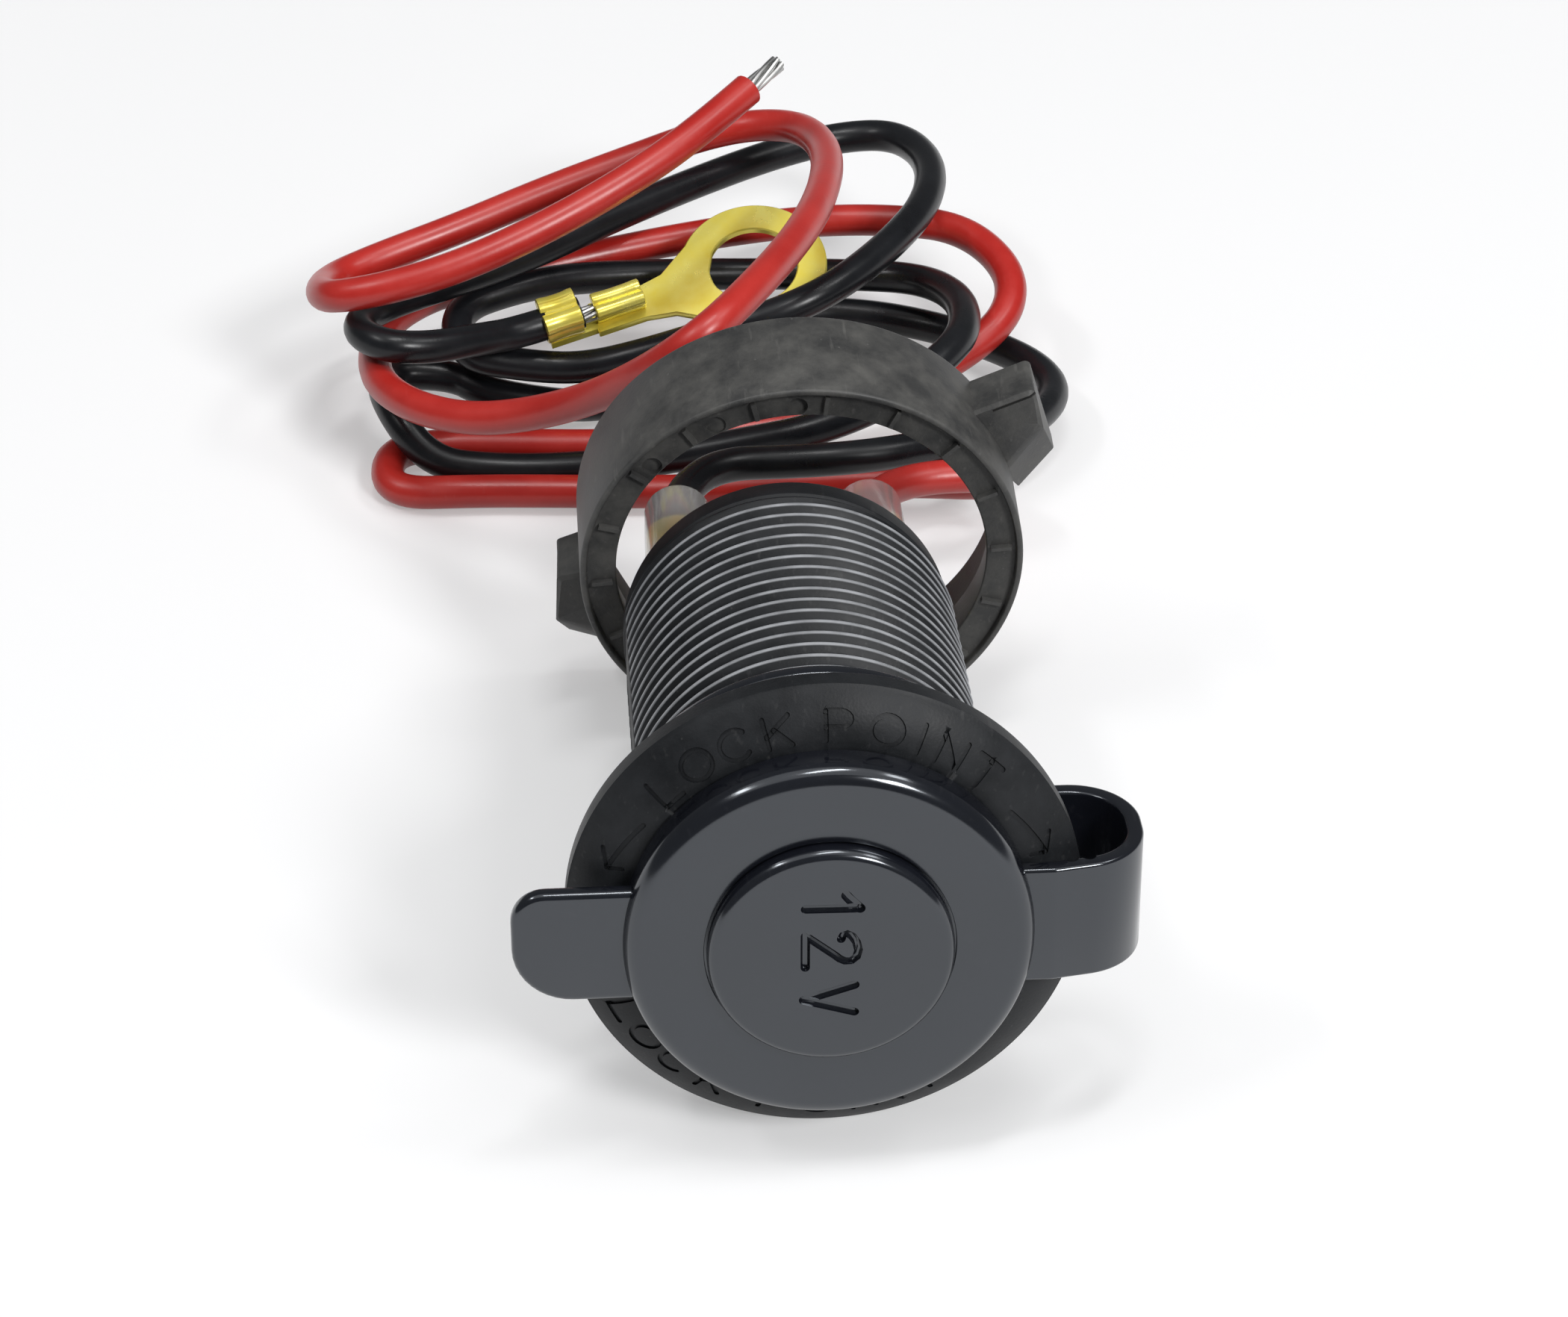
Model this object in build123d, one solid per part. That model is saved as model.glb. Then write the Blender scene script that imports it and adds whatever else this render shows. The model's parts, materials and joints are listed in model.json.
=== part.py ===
from build123d import *
import math
import os

# A 12 V panel socket that lies on its flange and its rear edge, with its cap closed,
# its loose ring nut standing behind it and its two leads in a loose hank.
# Millimetres, +Z up, floor at z = 0. The socket is drawn along its own axis first
# (+Y to the rear, y = 0 at the back of the flange) and is then laid on the floor.

# Socket body
thread_od = 28.5
thread_depth = 0.65
thread_pitch = 1.77
thread_crest = 0.44
thread_foot = 1.10
thread_first = 4.0
rib_count = 20
flat_width = 27.3
body_len = 41.6
rear_od = 27.6
rear_cup_d = 24.4
flange_od = 39.4
flange_rim = 1.8
flange_t = 4.0
flange_bulge = 0.35
seat_od = 31.8
mouth_d = 21.8
mouth_chamfer = 0.5
edge_r = 0.3

# Metal cup in the bore and what it carries
bore_d = 21.0
cup_wall = 0.9
cup_len = 32.0
cup_front = 3.4
cup_clear = 0.05
bore_len = 27.2
bore_step = 0.3
rear_wall = 2.4
disc_d = 20.6
disc_t = 1.6
disc_window_d = 6.4
contact_d = 9.0
contact_t = 0.6
contact_lift = 0.5
rivet_d = 3.2
rivet_head_d = 5.6
rivet_head_h = 1.1
rivet_tail_h = 0.8
rivet_clear = 0.05
bush_wall = 1.2
earth_rivet_x = -4.5
earth_rivet_z = -5.9

# Blades and push-on connectors
blade_w = 6.3
blade_t = 0.8
blade_len = 7.8
blade_x = 8.4
blade_z = 0.0
foot_end = 3.0
earth_foot_w = 4.8
earth_foot_bend = -3.6
earth_foot_low = -8.5
earth_foot_side = 2.5
conn_front = 39.0
conn_len = 7.0
conn_wall = 0.6
conn_clear = 0.08
conn_gap = 1.8
neck_len = 2.4
neck_w = 3.4
wire_crimp_len = 3.4
wire_crimp_d = 3.0
wire_crimp_bore = 1.9
grip_len = 3.4
grip_gap = 0.8
grip_wall = 0.5
wire_d = 3.1
wire_clear = 0.03
sleeve_front = 39.8
sleeve_len = 19.0
sleeve_wall = 0.5
sleeve_long = 9.6
sleeve_short = 5.8

# Cap and its strap
cap_d = 31.0
cap_t = 3.4
cap_gap = 0.08
cap_edge_r = 1.0
cap_top = 2.0
cap_rim = 1.7
boss_d = 18.6
boss_h = 1.3
boss_edge_r = 0.55
plug_d = 20.8
plug_end_d = 19.2
plug_wall = 1.5
plug_len = 5.2
tab_reach = 23.8
tab_w = 9.6
tab_t = 1.4
tab_set = 1.3
tab_r_top = 2.6
tab_r_low = 4.6
lug_end = 17.0
strap_t = 1.3
strap_w = 10.0
strap_y = -4.8
strap_back_y = 6.05
strap_reach = 24.4
strap_bend_r = 4.6
hinge_x = 19.4
hinge_y = -4.4
notch_d = 0.55
ring_clear = 0.25
ring_band = 1.9

# Ring nut
nut_od = 37.4
nut_w = 10.4
nut_bore_d = 31.2
nut_flare_d = 32.6
nut_web = 5.2
nut_back_d = 34.6
nut_lip = 0.55
nut_recess = 0.7
nut_ribs = 18
nut_rib_w = 0.8
nut_rib_h = 0.4
nut_rib_len = 1.9
nut_tooth_d = 27.9
nut_tooth_arc = 80.0
nut_tooth_start = 45.0
nut_x = 1.4
nut_gap = 0.02
nut_lean = 2.4
wing_turn = 24.0
wing_reach = 23.5
wing_front = 5.4
wing_slope = 3.2

# Ring terminal on the black lead: where its wire grip starts, which way it points, its upper side
eye_od = 14.0
eye_hole_d = 8.4
eye_t = 0.8
eye_neck_w = 4.4
eye_grip_len = 3.6
eye_gap = 1.5
eye_crimp_len = 4.8
eye_crimp_d = 2.5
eye_neck_len = 4.1
eye_start = (-19.5, 91.2, 11.5)
eye_dir = (0.953, 0.243, 0.182)
eye_up = (-0.081, -0.373, 0.924)

# Bare conductor ends
bare_len = 4.4
bare_d = 1.7

# Leads: points of the two centre lines, after their straight starts in the sleeves
lead_out = 0.4
red_points = [
    (8.9, 63.6, 10.2), (13.4, 67.8, 9.4), (21.2, 68.4, 9.0), (21.2, 73.9, 4.0), (14.0, 74.5, 4.2),
    (4.6, 75.7, 3.4), (-2.7, 76.7, 2.3), (-10.9, 77.4, 1.8), (-19.0, 78.0, 1.8), (-26.0, 78.4, 1.8),
    (-34.4, 78.4, 1.8), (-34.4, 85.2, 1.8), (-28.6, 86.1, 1.8), (-21.1, 85.2, 2.0), (-12.8, 84.1, 2.4),
    (-3.8, 84.2, 3.0), (5.3, 84.9, 4.0), (13.8, 87.4, 5.4), (21.0, 91.4, 7.0), (25.3, 95.3, 8.8),
    (25.7, 100.8, 10.2), (21.7, 107.6, 10.6), (14.8, 109.7, 10.4), (7.0, 110.5, 10.0),
    (-0.8, 109.8, 9.6), (-8.7, 108.3, 9.2), (-16.6, 106.3, 8.8), (-24.0, 103.5, 8.6),
    (-30.2, 101.4, 8.6), (-34.9, 95.1, 9.2), (-35.5, 85.0, 10.6), (-32.2, 78.0, 12.0),
    (-26.8, 73.3, 13.4), (-21.0, 70.6, 15.6), (-15.3, 67.3, 19.5), (-10.2, 62.7, 25.5),
    (-5.7, 61.7, 29.8), (-1.5, 67.7, 30.0), (3.1, 78.4, 28.0), (6.4, 89.6, 25.5), (8.3, 103.0, 22.0),
    (6.7, 112.4, 19.5), (1.9, 116.4, 17.6), (-3.6, 116.1, 16.6), (-10.4, 113.1, 15.8),
    (-18.3, 109.7, 14.8), (-27.3, 105.4, 13.4), (-35.3, 102.2, 12.2), (-40.0, 98.5, 12.2),
    (-39.9, 88.4, 17.0), (-34.5, 86.7, 18.8), (-27.1, 87.7, 20.4), (-18.9, 90.7, 22.6),
    (-11.0, 94.7, 25.0), (-4.5, 99.4, 27.0), (0.5, 104.4, 28.6),
]
black_points = [
    (-8.1, 64.2, 10.9), (-4.4, 69.2, 10.6), (2.3, 70.3, 9.8), (9.3, 70.7, 9.8), (16.9, 74.1, 8.6),
    (25.4, 80.0, 6.2), (29.2, 87.4, 4.6), (27.3, 93.5, 4.2), (20.3, 99.3, 4.0), (13.6, 102.3, 4.0),
    (7.4, 103.4, 4.0), (1.4, 101.7, 3.8), (-4.3, 96.8, 3.5), (-9.5, 91.3, 3.3), (-14.9, 89.4, 3.2),
    (-20.6, 90.2, 3.5), (-25.4, 91.5, 4.0), (-28.2, 93.6, 4.6), (-35.0, 93.0, 5.4), (-34.0, 85.2, 6.6),
    (-30.4, 81.5, 3.0), (-24.5, 81.5, 1.9), (-16.5, 81.2, 2.0), (-9.0, 80.6, 3.2), (-1.5, 79.2, 5.6),
    (5.5, 77.2, 8.4), (12.5, 78.2, 11.0), (18.2, 83.2, 12.6), (20.2, 88.3, 12.0), (20.3, 95.6, 10.4),
    (17.4, 102.7, 8.0), (10.6, 105.3, 7.0), (1.7, 105.9, 7.0), (-8.1, 105.0, 7.8), (-16.3, 103.0, 9.0),
    (-21.9, 100.1, 10.0), (-27.8, 97.2, 9.6), (-27.2, 90.8, 8.6), (-20.5, 90.4, 7.4),
    (-15.6, 90.0, 7.3), (-9.5, 89.4, 9.2), (-3.6, 88.2, 12.0), (2.4, 87.8, 14.2), (7.8, 90.1, 15.4),
    (13.6, 96.6, 15.8), (18.0, 104.5, 15.6), (19.2, 113.6, 14.5), (16.5, 120.6, 13.4),
    (11.0, 121.9, 12.6), (4.1, 119.3, 12.4), (-3.7, 114.2, 12.6), (-12.2, 107.6, 13.0),
    (-20.8, 100.4, 13.3), (-28.5, 96.0, 13.3), (-34.9, 92.8, 13.0), (-37.0, 87.4, 14.2),
    (-34.2, 83.8, 14.6), (-30.0, 84.5, 13.8), (-25.4, 87.5, 12.6), (-21.8, 90.6, 11.1),
]

flange_r = flange_od / 2
thread_r = thread_od / 2
root_r = thread_r - thread_depth
rear_r = rear_od / 2
cup_or = bore_d / 2 + cup_wall
cup_back = cup_front + cup_len
wall_back = cup_back + rear_wall
disc_back = cup_back - cup_wall
disc_front = disc_back - disc_t
rivet_r = rivet_d / 2
foot_back = wall_back + blade_t
nut_r = nut_od / 2

# The socket rests on the rear edge of the flange and on its own rear rim
lay_tilt = math.degrees(math.atan2(flange_r - rear_r, body_len))
tilt_sin = math.sin(math.radians(lay_tilt))
tilt_cos = math.cos(math.radians(lay_tilt))
lay_lift = flange_r * tilt_cos - edge_r * tilt_sin
lay = Pos(0, 0, lay_lift) * Rot(-lay_tilt, 0, 0)


def turned(points, axis=Axis.Y):
    """Revolve a closed outline of (radius, y) points about the socket's axis."""
    return revolve(make_face(Polyline(*points, close=True)), axis)


def bar_y(x, z, d, y0, y1):
    """Round bar along Y."""
    return extrude(Plane(origin=(x, y0, z), z_dir=(0, 1, 0)) * Circle(d / 2), y1 - y0)


def plate_y(points, y0, y1):
    """Flat plate across Y from its (x, z) corners."""
    face = make_face(Polyline(*[(x, y0, z) for x, z in points], close=True))
    return extrude(face, y1 - y0, dir=(0, 1, 0))


# Socket body: one turned outline with the rings of the thread, then the bores
rib_points = []
for i in range(rib_count):
    y = thread_first + i * thread_pitch
    rib_points.append((root_r, y - thread_foot / 2))
    rib_points.append((thread_r, y - thread_crest / 2))
    rib_points.append((thread_r, y + thread_crest / 2))
    rib_points.append((root_r, y + thread_foot / 2))
mid_r = (flange_r + seat_od / 2) / 2
mid_y = -(flange_rim + flange_t) / 2
slope = math.hypot(flange_r - seat_od / 2, flange_t - flange_rim)
bulge_point = (
    mid_r + flange_bulge * (flange_t - flange_rim) / slope,
    mid_y - flange_bulge * (flange_r - seat_od / 2) / slope,
)
front_arc = ThreePointArc((seat_od / 2, -flange_t), bulge_point, (flange_r, -flange_rim))
body_line = Polyline(
    (flange_r, -flange_rim),
    (flange_r, -edge_r),
    (flange_r - edge_r, 0),
    (root_r, 0),
    *rib_points,
    (root_r, body_len - 2.4),
    (rear_r, body_len - 2.2),
    (rear_r, body_len - edge_r),
    (rear_r - edge_r, body_len),
    (rear_cup_d / 2, body_len),
    (rear_cup_d / 2, wall_back),
    (0, wall_back),
    (0, cup_back),
    (cup_or + cup_clear, cup_back),
    (cup_or + cup_clear, cup_front),
    (mouth_d / 2, cup_front),
    (mouth_d / 2, -flange_t + mouth_chamfer),
    (mouth_d / 2 + mouth_chamfer, -flange_t),
    (seat_od / 2, -flange_t),
)
socket_body = revolve(make_face([front_arc] + list(body_line.edges())), Axis.Y)
flat_block = Pos(0, body_len / 2 + 0.8, 0) * Box(thread_od, body_len + 1.0, thread_od)
flat_keep = Pos(0, body_len / 2 + 0.8, 0) * Box(flat_width, body_len + 1.0, thread_od)
flat_zone = Pos(0, body_len / 2 + 0.8, 0) * Box(thread_od, body_len - 2.2 - 0.2, thread_od)
socket_body -= (flat_block - flat_keep) & flat_zone
socket_body -= bar_y(0, 0, rivet_d + 2 * rivet_clear, cup_back - 1, wall_back + 1)
socket_body -= bar_y(earth_rivet_x, earth_rivet_z, rivet_d + 2 * rivet_clear, cup_back - 1, wall_back + 1)

# Contact sleeve: drawn cup, with its holes for the two rivets
contact_sleeve = turned([
    (bore_d / 2, cup_front),
    (cup_or, cup_front),
    (cup_or, cup_back),
    (0, cup_back),
    (0, disc_back),
    (bore_d / 2 + bore_step, disc_back),
    (bore_d / 2 + bore_step, cup_front + bore_len + bore_step),
    (bore_d / 2, cup_front + bore_len),
])
bush_d = rivet_d + 2 * rivet_clear + 2 * bush_wall
contact_sleeve -= bar_y(0, 0, bush_d + 2 * rivet_clear, disc_back - 1, cup_back + 1)
contact_sleeve -= bar_y(earth_rivet_x, earth_rivet_z, rivet_d + 2 * rivet_clear, disc_back - 1, cup_back + 1)

# Insulating disc, bush, centre contact and the two rivets
insulating_disc = bar_y(0, 0, disc_d, disc_front, disc_back)
insulating_disc -= bar_y(0, 0, rivet_d + 2 * rivet_clear, disc_front - 1, disc_back + 1)
insulating_disc -= bar_y(earth_rivet_x, earth_rivet_z, disc_window_d, disc_front - 1, disc_back + 1)
centre_bush = bar_y(0, 0, bush_d, disc_back, cup_back)
centre_bush -= bar_y(0, 0, rivet_d + 2 * rivet_clear, disc_back - 1, cup_back + 1)
contact_front = disc_front - contact_t
centre_contact = turned([
    (rivet_r + rivet_clear, contact_front),
    (contact_d / 2 - 1.2, contact_front),
    (contact_d / 2, contact_front - contact_lift),
    (contact_d / 2, contact_front - contact_lift + contact_t),
    (contact_d / 2 - 1.2, disc_front),
    (rivet_r + rivet_clear, disc_front),
])


def rivet(head_back, tail_front, x, z):
    """Rivet with a domed head in front and an upset tail behind."""
    dome = ThreePointArc(
        (0, head_back - rivet_head_h),
        (rivet_head_d * 0.36, head_back - rivet_head_h * 0.72),
        (rivet_head_d / 2, head_back - rivet_head_h * 0.2),
    )
    line = Polyline(
        (rivet_head_d / 2, head_back - rivet_head_h * 0.2),
        (rivet_head_d / 2, head_back),
        (rivet_r, head_back),
        (rivet_r, tail_front),
        (rivet_head_d / 2 - 0.4, tail_front),
        (rivet_head_d / 2 - 0.8, tail_front + rivet_tail_h),
        (0, tail_front + rivet_tail_h),
        (0, head_back - rivet_head_h),
    )
    return Pos(x, 0, z) * revolve(make_face([dome] + list(line.edges())), Axis.Y)


centre_rivet = rivet(contact_front, foot_back, 0, 0)
earth_rivet = rivet(disc_back, foot_back, earth_rivet_x, earth_rivet_z)

# Blades: a foot under the rivet and a tab bent to the rear
blade_low = blade_z - blade_w / 2
blade_high = blade_z + blade_w / 2
blade_end = wall_back + blade_len
live_foot = plate_y([
    (-foot_end, -foot_end),
    (blade_x + blade_t / 2, blade_low),
    (blade_x + blade_t / 2, blade_high),
    (-foot_end, foot_end),
], wall_back, foot_back)


def tab_blade(x):
    """Straight push-on blade with its end narrowed."""
    lead = 1.0
    outline = Polyline(
        (x - blade_t / 2, wall_back, blade_low),
        (x - blade_t / 2, blade_end - lead, blade_low),
        (x - blade_t / 2, blade_end, blade_low + lead),
        (x - blade_t / 2, blade_end, blade_high - lead),
        (x - blade_t / 2, blade_end - lead, blade_high),
        (x - blade_t / 2, wall_back, blade_high),
        close=True,
    )
    return extrude(make_face(outline), blade_t, dir=(1, 0, 0))


live_blade = live_foot + tab_blade(blade_x)
live_blade -= bar_y(0, 0, rivet_d + 2 * rivet_clear, wall_back - 1, foot_back + 1)
earth_foot = plate_y([
    (-blade_x - blade_t / 2, blade_high),
    (-blade_x - blade_t / 2, earth_foot_bend),
    (earth_rivet_x - earth_foot_side, earth_foot_low),
    (earth_rivet_x + earth_foot_side, earth_foot_low),
    (earth_rivet_x + earth_foot_side, earth_foot_bend - 0.6),
    (-blade_x - blade_t / 2 + earth_foot_w, earth_foot_bend),
    (-blade_x - blade_t / 2 + earth_foot_w, blade_high),
], wall_back, foot_back)
earth_blade = earth_foot + tab_blade(-blade_x)
earth_blade -= bar_y(earth_rivet_x, earth_rivet_z, rivet_d + 2 * rivet_clear, wall_back - 1, foot_back + 1)

# Push-on connectors: a rolled receptacle, a neck, a conductor crimp and an insulation grip
conn_back = conn_front + conn_len
crimp_front = conn_back + neck_len
crimp_back = crimp_front + wire_crimp_len
grip_front = crimp_back + grip_gap
grip_back = grip_front + grip_len
grip_bore = wire_d + 2 * wire_clear
grip_od = grip_bore + 2 * grip_wall


def connector(x):
    """Female push-on connector centred on the blade at x, with its open side to the axis."""
    side = 1 if x < 0 else -1
    slot_t = blade_t + 2 * conn_clear
    slot_w = blade_w + 2 * conn_clear
    mid = (conn_front + conn_back) / 2
    shell = Pos(x, mid, blade_z) * Box(slot_t + 2 * conn_wall, conn_len, slot_w + 2 * conn_wall)
    shell -= Pos(x, mid, blade_z) * Box(slot_t, conn_len + 2, slot_w)
    shell -= Pos(x + side * slot_t, mid, blade_z) * Box(slot_t * 2, conn_len + 2, conn_gap)
    floor_x = x - side * (slot_t / 2 + conn_wall / 2)
    neck = Pos(floor_x, (conn_back + grip_back) / 2 - 0.5, blade_z)
    neck *= Box(conn_wall, grip_back - conn_back + 1.0, neck_w * 0.6)
    crimp = bar_y(x, blade_z, wire_crimp_d, crimp_front, crimp_back)
    grip = bar_y(x, blade_z, grip_od, grip_front, grip_back)
    step_x = x - side * (wire_crimp_d + grip_od) / 4
    step_y = (crimp_back + grip_front) / 2
    step = Pos(step_x, step_y, blade_z) * Box(grip_wall + 0.1, grip_gap + 1.2, neck_w * 0.4)
    body = shell + neck + crimp + grip + step
    body -= bar_y(x, blade_z, wire_crimp_bore, crimp_front - 0.1, crimp_back + 0.1)
    body -= bar_y(x, blade_z, grip_bore, grip_front - 0.2, grip_back + 0.2)
    return body


live_connector = connector(blade_x)
earth_connector = connector(-blade_x)


def clear_sleeve(x):
    """Oval tube over a connector."""
    back = Plane(origin=(x, sleeve_front, blade_z), x_dir=(0, 0, 1), z_dir=(0, 1, 0))
    outer = back * SlotOverall(sleeve_long, sleeve_short)
    inner = back * SlotOverall(sleeve_long - 2 * sleeve_wall, sleeve_short - 2 * sleeve_wall)
    return extrude(outer - inner, sleeve_len)


live_sleeve = clear_sleeve(blade_x)
earth_sleeve = clear_sleeve(-blade_x)

# Cap: hollow soft lid with boss, plug, pull tab and the lug that its strap grows from
cap_back = -flange_t - cap_gap
cap_face = cap_back - cap_t
cap_r = cap_d / 2
shell_outline = [
    (0, cap_face),
    (cap_r, cap_face),
    (cap_r, cap_back),
    (cap_r - cap_rim, cap_back),
    (cap_r - cap_rim, cap_face + cap_top),
    (plug_d / 2, cap_face + cap_top),
    (plug_d / 2, cap_back),
    (plug_end_d / 2, cap_back + plug_len),
    (plug_end_d / 2 - plug_wall, cap_back + plug_len),
    (plug_d / 2 - plug_wall, cap_face + cap_top),
    (0, cap_face + cap_top),
]
cap = turned(shell_outline)
face_edge = cap.edges().filter_by(GeomType.CIRCLE).group_by(Axis.Y)[0]
cap = fillet(face_edge, cap_edge_r)
boss = bar_y(0, 0, boss_d, cap_face - boss_h, cap_face + 0.5)
boss = fillet(boss.edges().filter_by(GeomType.CIRCLE).group_by(Axis.Y)[0], boss_edge_r)
cap += boss
tab_front = cap_face + tab_set
tab_in = -(cap_r - 0.6)
tab_sketch = make_face(Polyline(
    (tab_in, tab_front, tab_w / 2),
    (-tab_reach, tab_front, tab_w / 2),
    (-tab_reach, tab_front, -tab_w / 2),
    (tab_in, tab_front, -tab_w / 2),
    close=True,
))
tab = extrude(tab_sketch, tab_t, dir=(0, 1, 0))
tab_corners = tab.edges().filter_by(Axis.Y).group_by(Axis.X)[0].sort_by(Axis.Z)
tab = fillet(tab_corners[-1], tab_r_top)
tab = fillet(tab.edges().filter_by(Axis.Y).group_by(Axis.Z)[0].sort_by(Axis.X)[0], tab_r_low)
cap += tab - bar_y(0, 0, cap_d - 1.0, tab_front - 1, tab_front + tab_t + 1)
lug = Pos((cap_r - 0.6 + lug_end) / 2, strap_y, 0) * Box(lug_end - cap_r + 0.6, strap_t, strap_w)
cap += lug - bar_y(0, 0, cap_d - 1.0, strap_y - strap_t, strap_y + strap_t)

# Strap: loop from the cap's lug round the flange's edge to its ring on the thread
reach_mid = strap_reach - strap_t / 2
strap_line = FilletPolyline(
    (lug_end, strap_y, 0),
    (reach_mid, strap_y + 1.2, 0),
    (reach_mid, strap_back_y, 0),
    (thread_r + ring_clear + ring_band / 2, strap_back_y, 0),
    radius=strap_bend_r,
)
strap_section = Plane(origin=strap_line @ 0, x_dir=(0, 0, 1), z_dir=strap_line % 0)
strap = sweep(strap_section * Rectangle(strap_w, strap_t), path=strap_line)
strap_front_face = Pos(lug_end - 1.0, strap_y, 0) * Box(2.0, strap_t * 4, strap_w * 2)
strap -= strap_front_face
for notch_x in (hinge_x - 0.9, hinge_x + 0.5):
    notch_y = strap_y + (notch_x - lug_end) * 1.2 / (reach_mid - lug_end) + strap_t / 2
    strap -= Pos(notch_x, notch_y, 0) * Cylinder(notch_d, strap_w * 2)
ring_front = strap_back_y - strap_t / 2
ring_in = thread_r + ring_clear
ring = bar_y(0, 0, 2 * (ring_in + ring_band), ring_front, ring_front + strap_t)
strap += ring
strap -= bar_y(0, 0, 2 * ring_in, ring_front - 1, ring_front + strap_t + 1)
cap_strap = strap

# Ring nut, drawn about its own axis with its front face at y = 0 and its wings along X
nut = turned([
    (nut_bore_d / 2, nut_recess),
    (nut_r - nut_lip, nut_recess),
    (nut_r - nut_lip, 0),
    (nut_r - 0.15, 0),
    (nut_r, 0.15),
    (nut_r, nut_w),
    (nut_back_d / 2, nut_w),
    (nut_back_d / 2, nut_web),
    (nut_flare_d / 2, nut_web),
])
rib_in = nut_bore_d / 2 + 0.25
rib = Pos(rib_in + nut_rib_len / 2, nut_recess - nut_rib_h / 2 + 0.05, 0)
rib *= Box(nut_rib_len, nut_rib_h + 0.1, nut_rib_w)
for i in range(nut_ribs):
    nut += Rot(0, -i * 360 / nut_ribs, 0) * rib
tooth_r = nut_tooth_d / 2
shelf_r = nut_bore_d / 2 + 0.4
tooth_line = [
    (shelf_r, nut_recess + 0.5),
    (tooth_r + thread_depth, nut_recess + 0.5),
    (tooth_r, nut_recess + 1.0),
    (tooth_r, nut_recess + 1.3),
    (tooth_r + thread_depth, nut_recess + 1.8),
    (tooth_r + thread_depth, nut_recess + 0.5 + thread_pitch),
    (tooth_r, nut_recess + 1.0 + thread_pitch),
    (tooth_r, nut_recess + 1.3 + thread_pitch),
    (tooth_r + thread_depth, nut_recess + 1.8 + thread_pitch),
    (shelf_r, nut_recess + 1.8 + thread_pitch),
]
teeth = revolve(make_face(Polyline(*tooth_line, close=True)), Axis.Y, nut_tooth_arc)
nut += Rot(0, wing_turn + nut_tooth_start, 0) * teeth


def wing_corners(y, low_in, low_out):
    """Corners of the wing's section at depth y."""
    root = nut_r - 0.7
    return [
        (root, y, 5.1),
        (wing_reach, y, 5.1),
        (wing_reach - 0.6, y, low_out),
        (root, y, low_in),
    ]


wing_a = make_face(Polyline(*wing_corners(wing_front, -1.5, 1.0), close=True))
wing_b = make_face(Polyline(*wing_corners(wing_front + wing_slope, -5.4, -3.2), close=True))
wing = loft([wing_a, wing_b], ruled=True)
wing += extrude(wing_b, nut_w - wing_front - wing_slope, dir=(0, 1, 0))
nut += wing
nut += Rot(0, 180, 0) * wing
nut_foot = body_len * tilt_cos + (rear_r - edge_r) * tilt_sin + nut_gap
stand = Pos(nut_x, nut_foot, 0) * Rot(nut_lean, 0, 0) * Pos(0, 0, nut_r) * Rot(0, -wing_turn, 0)
ring_nut = stand * nut


def placed(x, y, z):
    """Point of the socket's own frame on the floor."""
    return (lay * Pos(x, y, z)).position


def lead(points):
    """Round lead along straight runs and tangent arcs."""
    spots = [Vector(*p) for p in points]
    radii = []
    for a, b, c in zip(spots, spots[1:], spots[2:]):
        turn = math.radians((b - a).get_angle(c - b))
        shorter = min((b - a).length, (c - b).length)
        radii.append(0.45 * shorter / math.tan(turn / 2))
    path = FilletPolyline(*spots, radius=radii)
    face = Plane(origin=path @ 0, z_dir=path % 0) * Circle(wire_d / 2)
    tube = sweep(face, path=path)
    print("lead", round(path.length, 1), "smallest radius", round(min(radii), 2),
          "volume ratio", round(tube.volume / (path.length * math.pi * wire_d ** 2 / 4), 4))
    return tube


# Leads: each starts in its connector's grip and leaves by the end of its sleeve
sleeve_back = sleeve_front + sleeve_len
red_start = placed(blade_x, grip_front + 0.1, blade_z)
red_out = placed(blade_x, sleeve_back + lead_out, blade_z)
black_start = placed(-blade_x, grip_front + 0.1, blade_z)
black_out = placed(-blade_x, sleeve_back + lead_out, blade_z)
eye_way = Vector(*eye_dir).normalized()
black_end = Vector(*eye_start) + eye_way * (eye_grip_len + 0.2)
red_wire = lead([red_start, red_out] + red_points)
black_wire = lead([black_start, black_out] + black_points + [black_end])
red_end = Vector(*red_points[-1])
red_way = (red_end - Vector(*red_points[-2])).normalized()
red_conductor = extrude(Plane(origin=red_end, z_dir=red_way) * Circle(bare_d / 2), bare_len)

# Ring terminal: eye and neck of one flat strip, rolled round the conductor and the insulation
term = Plane(origin=eye_start, x_dir=eye_dir, z_dir=eye_up)
crimp_at = eye_grip_len + eye_gap
neck_at = crimp_at + eye_crimp_len
eye_at = neck_at + eye_neck_len + eye_od / 2
strip_z = -(wire_d / 2 + wire_clear + eye_t / 2)
eye_plate = Circle(eye_od / 2) - Circle(eye_hole_d / 2)
neck_plate = Pos(-(eye_at - crimp_at) / 2 - 0.5, 0) * Rectangle(eye_at - crimp_at - 1.0, eye_neck_w)
neck_plate -= Circle(eye_od / 2 - 1.0)
flat = extrude(Pos(eye_at, 0, strip_z - eye_t / 2) * (eye_plate + neck_plate), eye_t)
spine_len = crimp_at + 1.0
spine = Pos(spine_len / 2, 0, strip_z) * Box(spine_len, eye_neck_w * 0.6, eye_t)


def bar_x(x, y, z, d, length):
    """Round bar along the terminal's own X."""
    return extrude(Plane(origin=(x, y, z), x_dir=(0, 1, 0), z_dir=(1, 0, 0)) * Circle(d / 2), length)


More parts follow.
